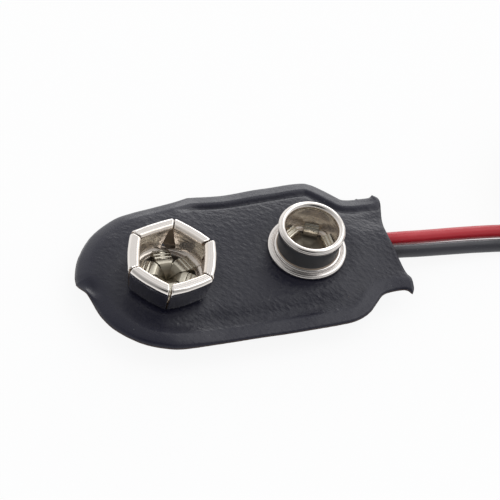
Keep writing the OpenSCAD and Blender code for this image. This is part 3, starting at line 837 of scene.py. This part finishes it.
# Outside of a leaf's ends at its lip and at its foot, and how far each leaf bows out between them
LEAF_OUT = 3.57
LEAF_FOOT_OUT = 3.36
BOWS = [0.12, 0.09, 0.16, 0.24, 0.22, 0.20]
LEAF_BEND = 0.72
LIP_W = 0.94
HEM_R = 0.15
HEM_BACK = 0.30
HEM_DROP = 0.03
LIP_ROLL = 0.17
# Rounding of the lips' corners, relief at the roll where two leaves meet, and waves along the lips
LIP_CORNER = 0.15
LIP_RELIEF = 0.06
LIP_WAVE = 0.02
# Depth and width of the drawing streaks along the lips
LIP_STREAK = 0.0025
LIP_STREAK_W = 0.17
# The same across the walls' insides
WALL_LINE = 0.006
WALL_LINE_W = 0.34
# Rows of the hem under each lip, and of the hem with its fold
HEM_ROWS = 9
FOLD_ROWS = 15
# Places of the points across a leaf, close together at its edges, and the share of its thickness left there
LEAF_SPREAD = (-1, -0.985, -0.955, -0.9, *np.linspace(-0.8, 0.8, 17), 0.9, 0.955, 0.985, 1)
WORN_EDGE = 0.55
WORN_BESIDE = 0.88
NOTCH_Z = 0.95
SOCKET_HOLE_R = 2.45
# Half widths of the slit at each corner: at the lips' outside and inside, at the notch and at the foot bend
SLITS = [(0.03, 0.12, 0.12, 0.0), (0.0, 0.09, 0.68, 0.76), (0.02, 0.10, 0.05, 0.0), (0.0, 0.04, 0.0, 0.0),
         (0.05, 0.17, 0.04, 0.04), (0.03, 0.07, 0.03, 0.0)]
# Degrees by which each corner is off its even place at the lips
CORNER_OFF = [3.5, 0.0, -1.0, -0.8, 0.4, 1.8]
# The same at the foot
FOOT_OFF = [0.0, -3.0, 0.0, 0.0, 0.0, 0.0]
# How far the leaves' ends draw in at the foot, inside, where the cup is round, and outside
CUP_ROUND = 0.34
FOOT_ROUND = 0.05
# How much higher each leaf stands
LEAF_LIFT = [-0.01, 0.01, 0.02, -0.01, -0.02, 0.0]
# Web behind the far corner's slit: radius, height and half width at its bend, and at both ends of its wall
FAR_CORNER = 1
WEB_T = 0.06
WEB_BEND = [(3.08, 0.20, 0.44), (3.26, 0.34, 0.62), (3.38, 0.46, 0.76), (3.30, 0.49, 0.82)]
WEB_LOW = np.array((3.34, 0.56, 0.82))
WEB_TOP = np.array((3.84, SOCKET_H - 0.6, 0.17))
# Finishes of the socket, the last of them brown painted shade, and the sides of a sheet of metal
LIP, INWARD, OUTWARD, SHADE_BROWN = range(4)
FRONT, BACK, EDGE, END = range(4)

def leaf_path():
    """Middle of the sheet along a leaf: floor, bend and leaning wall, then a lip folded in and under."""
    top = SOCKET_H - SHEET_T / 2
    foot = LEAF_FOOT_OUT - SHEET_T / 2
    wall = LEAF_OUT - SHEET_T / 2
    fold = LEAF_OUT - LIP_W + SHEET_T / 2 + HEM_R
    bend_z = SHEET_T / 2 + LEAF_BEND
    roll_z = top - LIP_ROLL
    upright = [(2.47, SHEET_T / 2)]
    upright += arc((foot - LEAF_BEND, bend_z), LEAF_BEND, -90, 0, 13)
    upright += [(mix(foot, wall, (z - bend_z) / (roll_z - bend_z)), z)
                for z in (NOTCH_Z - 0.02, NOTCH_Z + 0.02, *np.linspace(NOTCH_Z + 0.1, roll_z - 0.1, 26))]
    lip = arc((wall - LIP_ROLL, roll_z), LIP_ROLL, 0, 90, 8)
    flat = np.linspace(wall - LIP_ROLL, fold, 22)[1:-1]
    lip += [(r, top + LIP_STREAK * math.sin(2 * math.pi * (r - fold) / LIP_STREAK_W)) for r in flat]
    lip += arc((fold, top - HEM_R), HEM_R, 90, 270, 10)
    hem = np.linspace(fold, LEAF_OUT - HEM_BACK, 5)
    lip += [(r, top - 2 * HEM_R - HEM_DROP * k) for k, r in enumerate(hem)][1:]
    return np.array(upright), np.array(lip)


def sheet_sides(path):
    """Unit normals along a section path."""
    ahead = np.gradient(path, axis=0)
    ahead /= np.linalg.norm(ahead, axis=1)[:, None]
    return np.stack([-ahead[:, 1], ahead[:, 0]], 1)


def slit(corner, r, z):
    """Half width of the slit at a corner, at a radius and a height above the pad."""
    outside, inside_lip, notch, foot = SLITS[corner % 6]
    lip = mix(outside, inside_lip, np.clip((LEAF_OUT - r) / LIP_W, 0, 1))
    if z < NOTCH_Z:
        return mix(0.0, foot, smooth(0.14, 0.5, z)) + mix(0.0, notch - foot, smooth(0.6, NOTCH_Z, z))
    up = np.clip((z - NOTCH_Z) / (SOCKET_H - 0.6 - NOTCH_Z), 0, 1)
    return mix(notch, lip, up ** 0.8)


def slab(rows, columns):
    """Faces of a sheet from its front and back grids of points, each with its side and its row."""
    def at(layer, i, j):
        return layer * rows * columns + i * columns + j

    faces = []
    for i in range(rows - 1):
        for j in range(columns - 1):
            faces.append((FRONT, i, (at(0, i, j), at(0, i, j + 1), at(0, i + 1, j + 1), at(0, i + 1, j))))
            faces.append((BACK, i, (at(1, i, j), at(1, i + 1, j), at(1, i + 1, j + 1), at(1, i, j + 1))))
        for j in (0, columns - 1):
            faces.append((EDGE, i, (at(0, i, j), at(0, i + 1, j), at(1, i + 1, j), at(1, i, j))))
    for i in (0, rows - 1):
        for j in range(columns - 1):
            faces.append((END, i, (at(0, i, j), at(0, i, j + 1), at(1, i, j + 1), at(1, i, j))))
    return faces


def leaf_finish(side, row, rows, upright_rows):
    """Finish of a leaf's face: painted shade on its cut edges and under the lip, and inside a duller copy with
    a warmer painted reflection than on the lip.
    """
    if side == EDGE:
        return SHADE_BROWN
    if side == END:
        return INWARD
    if row < upright_rows:
        return INWARD if side == FRONT else OUTWARD
    if row > rows - HEM_ROWS:
        return SHADE_BROWN
    return INWARD if row > rows - FOLD_ROWS else LIP


def leaf(index):
    """Points and faces of one leaf, and each face's finish."""
    upright, lip = leaf_path()
    path = np.vstack([upright, lip])
    out, along = facing(SOCKET_TURN + 30 + 60 * index)
    lip_mid = LEAF_OUT - LIP_W / 2
    lip_low = SOCKET_H - 0.75
    roll_at = SOCKET_H - 0.2
    points = []
    for sign in (1, -1):
        for k, ((r, z), n) in enumerate(zip(path, sheet_sides(path))):
            drawn = WALL_LINE * math.sin(2 * math.pi * z / WALL_LINE_W) * smooth(1.0, 1.4, z)
            drawn *= sign > 0 and k < len(upright)
            on_lip = smooth(lip_low, lip_low + 0.3, z)
            inward = np.clip((LEAF_OUT - r) / LIP_W, 0, 1)
            corner_round = LIP_CORNER * on_lip * np.clip(abs(r - lip_mid) / (LIP_W / 2), 0, 1) ** 4
            relief = LIP_RELIEF * hump(z, roll_at, 0.12) * (1 - smooth(0.2, 0.4, inward))
            share = z / SOCKET_H
            bow = BOWS[index] * (1 - 0.75 * on_lip * inward) * mix(0.4, 1, share)
            draw = (CUP_ROUND if sign > 0 else FOOT_ROUND) * (1 - smooth(0.5, 2.3, z))
            for u in LEAF_SPREAD:
                worn = WORN_EDGE if abs(u) == 1 else (WORN_BESIDE if abs(u) > 0.98 else 1.0)
                off = n * (SHEET_T / 2) * worn * sign
                corner = index + (1 if u > 0 else 0)
                wave = LIP_WAVE * on_lip * noise.noise(Vector((u * 2.2, index * 3.7, r * 1.5)))
                turned = mix(FOOT_OFF[corner % 6], CORNER_OFF[corner % 6], share)
                reach = math.radians(30 + math.copysign(turned, u))
                half = (r - draw) * math.tan(reach) - slit(corner, r, z) - corner_round - relief
                radial = r + off[0] + bow * (1 - u * u) - draw * abs(u) ** 2.4 + wave + drawn
                place = SOCKET[:2] + out * radial + along * (u * half)
                points.append((*place, PLATEAU_Z + z + off[1] + LEAF_LIFT[index] * share))
    sides = slab(len(path), len(LEAF_SPREAD))
    finish = [leaf_finish(side, row, len(path), len(upright)) for side, row, _ in sides]
    return points, [face for _, _, face in sides], finish


def corner_web(corner):
    """Web left in the corner that was not slit through, narrower upwards and set behind the leaves, all in
    brown painted shade.
    """
    out, along = facing(SOCKET_TURN + FOOT_OFF[corner] + 60 * corner)
    section = WEB_BEND + [tuple(mix(WEB_LOW, WEB_TOP, t)) for t in np.linspace(0, 1, 11)]
    spread = np.linspace(-1, 1, 9)
    points = []
    for sign in (1, -1):
        for behind, z, half in section:
            for u in spread:
                place = SOCKET[:2] + out * (behind - WEB_T / 2 * sign) + along * (u * half)
                points.append((*place, PLATEAU_Z + z))
    faces = [face for _, _, face in slab(len(section), len(spread))]
    return points, faces, [SHADE_BROWN] * len(faces)


def lathe(section, sides, centre, base_z):
    """Points and faces of a ring whose section is a closed loop of radius and height."""
    angles = np.linspace(0, 2 * math.pi, sides, endpoint=False)
    points = [polar(centre, r, a, base_z + z) for a in angles for r, z in section]
    return points, tube_faces(sides, len(section))


def socket_floor():
    """Ring under the leaves, with a rounded edge at its hole."""
    edge_r = 0.07
    section = [(2.62, 0.0), (2.62, SHEET_T - 0.004)]
    section += arc((SOCKET_HOLE_R + edge_r, SHEET_T - edge_r), edge_r, 90, 180, 5)
    section += [(SOCKET_HOLE_R, 0.0)]
    points, faces = lathe(section, 120, SOCKET, PLATEAU_Z)
    return points, faces, [INWARD] * len(faces)


def make_socket():
    """The socket, duller inside than on its lips, with a warmer painted reflection inside and painted shade on
    its cut edges, under the lips and on the web.
    """
    points, faces, finish = [], [], []
    for places, some_faces, some_finish in (socket_floor(), corner_web(FAR_CORNER), *map(leaf, range(6))):
        faces += [tuple(len(points) + k for k in face) for face in some_faces]
        points += places
        finish += some_finish
    materials = [NICKEL, NICKEL_INSIDE_PAINTED, NICKEL_WALL, NICKEL_BROWN_AND_SHADE]
    make_piece("hex_snap_socket", points, faces, materials, ("hex_socket",), 40, finish)


make_socket()


# Round stud: a drawn cup with a rolled rim and a curled foot

STUD_RIM_R = 2.86
STUD_NECK_R = 2.76
STUD_WAIST_R = 2.60
STUD_BORE_R = 2.25
STUD_FOOT_R = 3.38
FOOT_EDGE = 0.2
FOOT_DOME = 0.08
NECK_FILLET = 0.22
# Radius, half width and depth of the marks turned into the foot
FOOT_MARKS = [(2.90, 0.05, 0.10), (3.02, 0.02, 0.03), (3.10, 0.014, 0.018)]
# The rim is a rolled bead
RIM_BEAD = (STUD_RIM_R - STUD_BORE_R) / 2
RIM_MID = (STUD_RIM_R + STUD_BORE_R) / 2
# Depth and width, in degrees, of the line pressed into the bead, and its angle above level
RIM_LINE = 0.035
RIM_LINE_W = 9
RIM_LINE_AT = 24
# Finishes of the stud: the neck's is a painted reflection of the dark pad, and the bore's a warmer painted
# reflection
SHINY, BORE, NECK_PAINTED_DARK, TURNED, BROWN = range(5)


def foot_grooves(r):
    """Depth of the turning marks on the foot, with a deep one by the neck."""
    marks = 0.0015 * math.sin(2 * math.pi * r / 0.09)
    return marks + sum(deep * hump(r, at, wide) for at, wide, deep in FOOT_MARKS)


def rim_r(angle):
    """Radius of the rim's bead, with a line pressed into its outside."""
    return RIM_BEAD - RIM_LINE * hump(angle, RIM_LINE_AT, RIM_LINE_W)


def stud_section():
    """Section of the stud as a closed loop, in stretches with one finish each."""
    top = STUD_H
    edge = STUD_FOOT_R - FOOT_EDGE
    fillet_r = STUD_WAIST_R + NECK_FILLET
    foot_h = 2 * FOOT_EDGE
    neck_z = foot_h + FOOT_DOME + NECK_FILLET
    bead_z = top - RIM_BEAD
    foot = [(1.6, 0.0), (2.4, 0.0)]
    foot += arc((edge, FOOT_EDGE), FOOT_EDGE, -90, 82, 20)
    foot += [(r, foot_h + FOOT_DOME * (edge - r) / (edge - fillet_r) - foot_grooves(r))
             for r in np.linspace(edge - 0.04, fillet_r + 0.02, 46)]
    foot += arc((fillet_r, neck_z), NECK_FILLET, -90, -118, 4)
    corner = arc((fillet_r, neck_z), NECK_FILLET, -124, -150, 4)
    neck = arc((fillet_r, neck_z), NECK_FILLET, -158, -180, 4)
    neck += [(mix(STUD_WAIST_R, STUD_NECK_R, smooth(neck_z, bead_z - 0.3, z)), z)
             for z in np.linspace(neck_z + 0.1, bead_z - 0.22, 10)]
    rim = [(RIM_MID + rim_r(a) * math.cos(math.radians(a)), bead_z + rim_r(a) * math.sin(math.radians(a)))
           for a in np.linspace(-40, 200, 81)]
    bore = [(STUD_BORE_R + 0.04, bead_z - 0.25), (STUD_BORE_R + 0.05, top - 0.9), (STUD_BORE_R + 0.05, 1.2)]
    bore += arc((STUD_BORE_R - 0.23, SHEET_T + 0.28), 0.28, 0, -90, 7)
    bore += [(1.75, SHEET_T)]
    bore += arc((1.67, SHEET_T - 0.07), 0.07, 90, 180, 5)
    return foot, corner, neck, rim, bore


def make_stud():
    """The stud, painted nearly black round its neck as a painted reflection of the pad, with a brown ring at
    the neck's foot, and duller inside its bore with a warmer painted reflection.
    """
    stretches = stud_section()
    section = [place for stretch in stretches for place in stretch]
    finishes = (TURNED, BROWN, NECK_PAINTED_DARK, SHINY, BORE)
    round_finish = [which for stretch, which in zip(stretches, finishes) for _ in stretch]
    points, faces = lathe(section, 192, STUD, PLATEAU_Z)
    materials = [NICKEL, NICKEL_INSIDE_PAINTED, NICKEL_NECK_PAINTED_DARK, NICKEL_TURNED, NICKEL_BROWN_AND_SHADE]
    finish = [round_finish[k % len(section)] for k in range(len(faces))]
    make_piece("round_snap_stud", points, faces, materials, ("round_stud",), 45, finish)


make_stud()


# Rivets: the split end is flared into six ribbed lugs round a dish

SHANK_R = 1.2
HEAD_R = 2.2
HEAD_EDGE = 0.06
# Half width of the splits between petals, and height of the ribs across the lugs
SLOT_HALF = 0.035
RIB = 0.028
# Points round a rivet and out from its middle
RIVET_SIDES = 360
RIVET_RINGS = 80
# Finishes of a rivet: plain metal, and painted shade in the open gaps between lugs and in the middle of the
# dish
METAL, SHADED_GAP, SHADED_MIDDLE = range(3)


def flare(share):
    """Height along a petal from the rivet's bore, 0 in the middle, to the crest, 1."""
    return 1 - (1 - np.clip(share, 0, 1)) ** 2.6


def dish(share):
    """The same for a rivet with a wide bore."""
    return np.clip(share, 0, 1) ** 4.0


def rivet(name, node, centre, seed, turn, lug_r, lug_w, crest_r, depth, lug_h, lug_drop, gap_z,
          profile, split_at, rib_pitch, shade_share, skew, bore):
    """One rivet: its end is split and flared into six petals, and its head lies under the board."""
    rng = np.random.default_rng(seed)
    reach = rng.uniform(-0.07, 0.03, 6)
    lift = rng.uniform(-0.03, 0.03, 6)
    tilt = rng.uniform(-0.06, 0.06, 6)
    pitch = rng.uniform(0.92, 1.08, 6) * rib_pitch
    floor_z = PLATEAU_Z + SHEET_T
    sides = RIVET_SIDES
    widest = lug_r / math.cos(math.radians(20))
    radii = np.linspace(0, widest, RIVET_RINGS)[1:]
    angles = np.linspace(0, 360, sides, endpoint=False)
    near = np.round((angles - turn) / 60)
    off = np.radians(angles - turn - 60 * near)
    petal = near.astype(int) % 6
    leaning = (angles - turn + 180) % 360 - 180
    around = np.radians(angles + skew * hump(leaning, 0, 35))
    end = lug_r + reach[petal]
    points = [(centre[0], centre[1], floor_z + lug_h - depth)]
    open_gap = []
    for r in radii:
        along = r * np.cos(off)
        across = r * np.abs(np.sin(off))
        split = SLOT_HALF * smooth(split_at, split_at + 0.15, along / crest_r)
        half = np.minimum(lug_w / 2, along * math.tan(math.radians(30)) - split)
        on = smooth(-0.01, 0.035, half - across) * (1 - smooth(end - 0.07, end, along))
        on = np.maximum(on, 1 - smooth(split_at - 0.05, split_at + 0.1, along / crest_r))
        out = np.clip((along - crest_r) / (lug_r - crest_r), 0, None)
        ribs = RIB * np.cos(2 * math.pi * (along - crest_r - 0.06) / pitch[petal]) * smooth(0.04, 0.2, out)
        bent = (lift[petal] + tilt[petal] * np.sin(off) * r) * smooth(0, 0.4, out)
        lug_top = lug_h - lug_drop * out ** 1.3 + ribs + bent
        top = np.where(along <= crest_r, lug_h - depth * (1 - profile(along / crest_r)), lug_top)
        under = mix(top - 0.25, gap_z, smooth(0.9, 1.15, along / crest_r))
        height = mix(np.minimum(under, top), top, on)
        open_gap.append((on < 0.5) & (along > crest_r * 0.9))
        points += [polar(centre, r, a, floor_z + h) for a, h in zip(around, height)]
    foot_z = floor_z + gap_z - 0.02
    face_r = HEAD_R - HEAD_EDGE
    stem = [(widest, foot_z), (SHANK_R, foot_z), (SHANK_R, HEAD_TOP_Z), (face_r, HEAD_TOP_Z),
            (HEAD_R, HEAD_TOP_Z - HEAD_EDGE), (HEAD_R, HEAD_LOW_Z + HEAD_EDGE), (face_r, HEAD_LOW_Z)]
    points += [polar(centre, r, a, z) for r, z in stem for a in around]
    points.append((centre[0], centre[1], HEAD_LOW_Z))
    rings = len(radii) + len(stem)
    faces = [(0, 1 + k, 1 + (k + 1) % sides) for k in range(sides)]
    finish = [SHADED_MIDDLE] * sides
    for i in range(rings - 1):
        first = 1 + i * sides
        after = first + sides
        for k in range(sides):
            j = (k + 1) % sides
            faces.append((first + k, after + k, after + j, first + j))
            if i + 1 >= len(radii):
                finish.append(METAL)
            # the middle of the dish gets painted shade
            elif radii[i] * math.cos(off[k]) < shade_share * crest_r:
                finish.append(SHADED_MIDDLE)
            else:
                # open gaps between the lugs get painted shade
                finish.append(SHADED_GAP if open_gap[i][k] and open_gap[i + 1][j] else METAL)
    last = 1 + (rings - 1) * sides
    faces += [(last + (k + 1) % sides, last + k, last + sides) for k in range(sides)]
    finish += [METAL] * sides
    make_piece(name, points, faces, [RIVET_METAL, RIVET_GAP_SHADE, bore], (node,), 40, finish)


rivet("socket_flared_rivet", "socket_rivet", SOCKET, seed=4, turn=25, lug_r=2.66, lug_w=1.50, crest_r=1.40,
      depth=1.10, lug_h=0.50, lug_drop=0.20, gap_z=-0.17, profile=flare, split_at=0.55, rib_pitch=0.36,
      shade_share=0.75, skew=-8, bore=RIVET_BORE_SHADE)
rivet("stud_flared_rivet", "stud_rivet", STUD, seed=9, turn=58.5, lug_r=2.24, lug_w=1.30, crest_r=1.50,
      depth=0.62, lug_h=0.42, lug_drop=-0.10, gap_z=-0.04, profile=dish, split_at=0.86, rib_pitch=0.30,
      shade_share=0.93, skew=0, bore=RIVET_DEEP_SHADE)


# Hidden pieces keep their solids and get a finish

for node, material in (("stiffener_board", BOARD), ("socket_solder", SOLDER), ("stud_solder", SOLDER),
                       ("red_conductor", COPPER), ("black_conductor", COPPER)):
    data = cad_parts[node].data
    data.materials.clear()
    data.materials.append(material)


# Tie round the coil: a ribbed band in a closed loop

TIE_W = 1.6
TIE_T = 0.2
TIE_ANGLE = 20
TIE_GAP = 0.05
TIE_ROUND = 0.22
# Shares: the wire's width in the tie, the film's thickness beside it, and the depth of the tie's inner side
TIE_WIRE = 0.16
TIE_FILM = 0.55
TIE_INNER = 0.42


def tie_path():
    """Taut loop round the turns, out from the coil's axis and up, with rounded corners."""
    low, high = box_mm("coil_tie")
    black_top = box_mm("black_coil")[1][2]
    grow = TIE_GAP + TIE_T / 2
    inner = math.sqrt((RED_TURN_R - LEAD_D / 2) ** 2 - (TIE_W / 2) ** 2) - grow
    outer = BLACK_TURN_R + LEAD_D / 2 + grow
    red_edge = RED_TURN_R + LEAD_D / 2 + grow
    bottom = low[2] + TIE_T / 2
    top = high[2] - TIE_T / 2
    step = black_top + grow
    corners = np.array([(inner, bottom), (outer, bottom), (outer, step), (red_edge, top), (inner, top)])
    loop = []
    for before, corner, after in zip(np.roll(corners, 1, axis=0), corners, np.roll(corners, -1, axis=0)):
        back = (before - corner) / np.linalg.norm(before - corner)
        ahead = (after - corner) / np.linalg.norm(after - corner)
        for t in np.linspace(0, 1, 6):
            loop.append((1 - t) ** 2 * (corner + back * TIE_ROUND) + 2 * t * (1 - t) * corner
                        + t * t * (corner + ahead * TIE_ROUND))
    return np.array(loop)


def make_tie():
    loop = tie_path()
    ahead = np.roll(loop, -1, axis=0) - np.roll(loop, 1, axis=0)
    out = np.stack([ahead[:, 1], -ahead[:, 0]], 1) / np.linalg.norm(ahead, axis=1)[:, None]
    across = np.linspace(-1, 1, 17)
    wire = hump(across, 0, TIE_WIRE)
    edge = np.sqrt(np.clip(1 - across ** 8, 0, 1))
    section = [(u, TIE_T * (0.5 * e * mix(TIE_FILM, 1, w))) for u, w, e in zip(across, wire, edge)]
    section += [(u, -TIE_T * TIE_INNER * e) for u, e in zip(across[::-1], edge[::-1])][1:-1]
    radial, along = facing(TIE_ANGLE)
    points = []
    for place, n in zip(loop, out):
        for u, h in section:
            at = place + n * h
            points.append((*(COIL + radial * at[0] + along * (u * TIE_W / 2)), at[1]))
    make_piece("coil_tie_band", points, tube_faces(len(loop), len(section)), [TIE], ("coil_tie",), 50)


make_tie()


# Stage: a pale floor, soft light and a white surround

FLOOR_HALF = 1500
FLOOR_GREY = (0.9, 0.9, 0.9)
# Share of the floor's own shading in what it shows
SHADE_SHARE = 0.10
WHITE = (1, 1, 1)
LIGHT_TINT = (0.97, 0.98, 1.0)
LIGHT_STRENGTH = 0.8
# Dark patch and broad fall of the surround: degrees from the camera's place where each begins and ends, and
# the share of white that is left
PATCH = (29, 16, 0.06)
FALL = (95, 35, 0.36)


def seen_ray(tree):
    """1 for rays that show the surround: from the camera, mirrors or glass."""
    path = add_node(tree, "ShaderNodeLightPath").outputs
    seen = path["Is Camera Ray"]
    for name in ("Is Glossy Ray", "Is Transmission Ray"):
        seen = add_node(tree, "ShaderNodeMath", {0: seen, 1: path[name]}, operation="MAXIMUM").outputs[0]
    return seen


def finish_tree(tree, kind, share, rest, shown):
    """Output of that kind, with a share of the shown shader and the rest of the other."""
    both = add_node(tree, "ShaderNodeMixShader", {"Fac": share, 1: rest.outputs[0], 2: shown.outputs[0]})
    add_node(tree, kind, {"Surface": both.outputs[0]})


def make_floor():
    """Pale floor that shows white, with a share of its own shading so that the shadow stays."""
    material = bpy.data.materials.new("floor")
    material.use_nodes = True
    tree = material.node_tree
    tree.nodes.clear()
    diffuse = add_node(tree, "ShaderNodeBsdfDiffuse", {"Color": FLOOR_GREY})
    glow = add_node(tree, "ShaderNodeEmission", {"Color": WHITE, "Strength": 1.0})
    amount = add_node(tree, "ShaderNodeMath", {0: seen_ray(tree), 1: 1 - SHADE_SHARE}, operation="MULTIPLY")
    finish_tree(tree, "ShaderNodeOutputMaterial", amount.outputs[0], diffuse, glow)
    mesh = bpy.data.meshes.new("floor")
    h = FLOOR_HALF * MM
    mesh.from_pydata([(-h, -h, 0), (h, -h, 0), (h, h, 0), (-h, h, 0)], [], [(0, 1, 2, 3)])
    mesh.materials.append(material)
    put("floor", mesh)


def make_world():
    """White surround with a dark patch where the camera stands, dimmer as a light than it looks."""
    world = bpy.data.worlds.new("surround")
    bpy.context.scene.world = world
    world.use_nodes = True
    tree = world.node_tree
    tree.nodes.clear()
    place = add_node(tree, "ShaderNodeTexCoord").outputs["Generated"]
    both = {0: place, 1: -view_direction()}
    towards = add_node(tree, "ShaderNodeVectorMath", both, operation="DOT_PRODUCT").outputs["Value"]

    def dimmed(begin, end, left, kind):
        inputs = {"Value": towards, "From Min": math.cos(math.radians(begin)),
                  "From Max": math.cos(math.radians(end)), "To Min": 1.0, "To Max": left}
        return add_node(tree, "ShaderNodeMapRange", inputs, interpolation_type=kind).outputs["Result"]

    strengths = {0: dimmed(*PATCH, "SMOOTHSTEP"), 1: dimmed(*FALL, "LINEAR")}
    amount = add_node(tree, "ShaderNodeMath", strengths, operation="MULTIPLY").outputs["Value"]
    shown = add_node(tree, "ShaderNodeBackground", {"Color": WHITE, "Strength": amount})
    light = add_node(tree, "ShaderNodeBackground", {"Color": LIGHT_TINT, "Strength": LIGHT_STRENGTH})
    finish_tree(tree, "ShaderNodeOutputWorld", seen_ray(tree), light, shown)


def make_light(name, place, size, watts):
    data = bpy.data.lights.new(name, "AREA")
    data.shape = "SQUARE"
    data.size = size * MM
    data.energy = watts
    lamp = put(name, data)
    lamp.location = Vector(place) * MM
    lamp.rotation_mode = "QUATERNION"
    lamp.rotation_quaternion = (-lamp.location).to_track_quat("-Z", "Y")


make_floor()
make_world()
make_light("key", (320, 80, 440), 400, 0.55)
make_light("back", (265, 425, 115), 300, 0.55)
bpy.context.scene.view_settings.view_transform = "Standard"
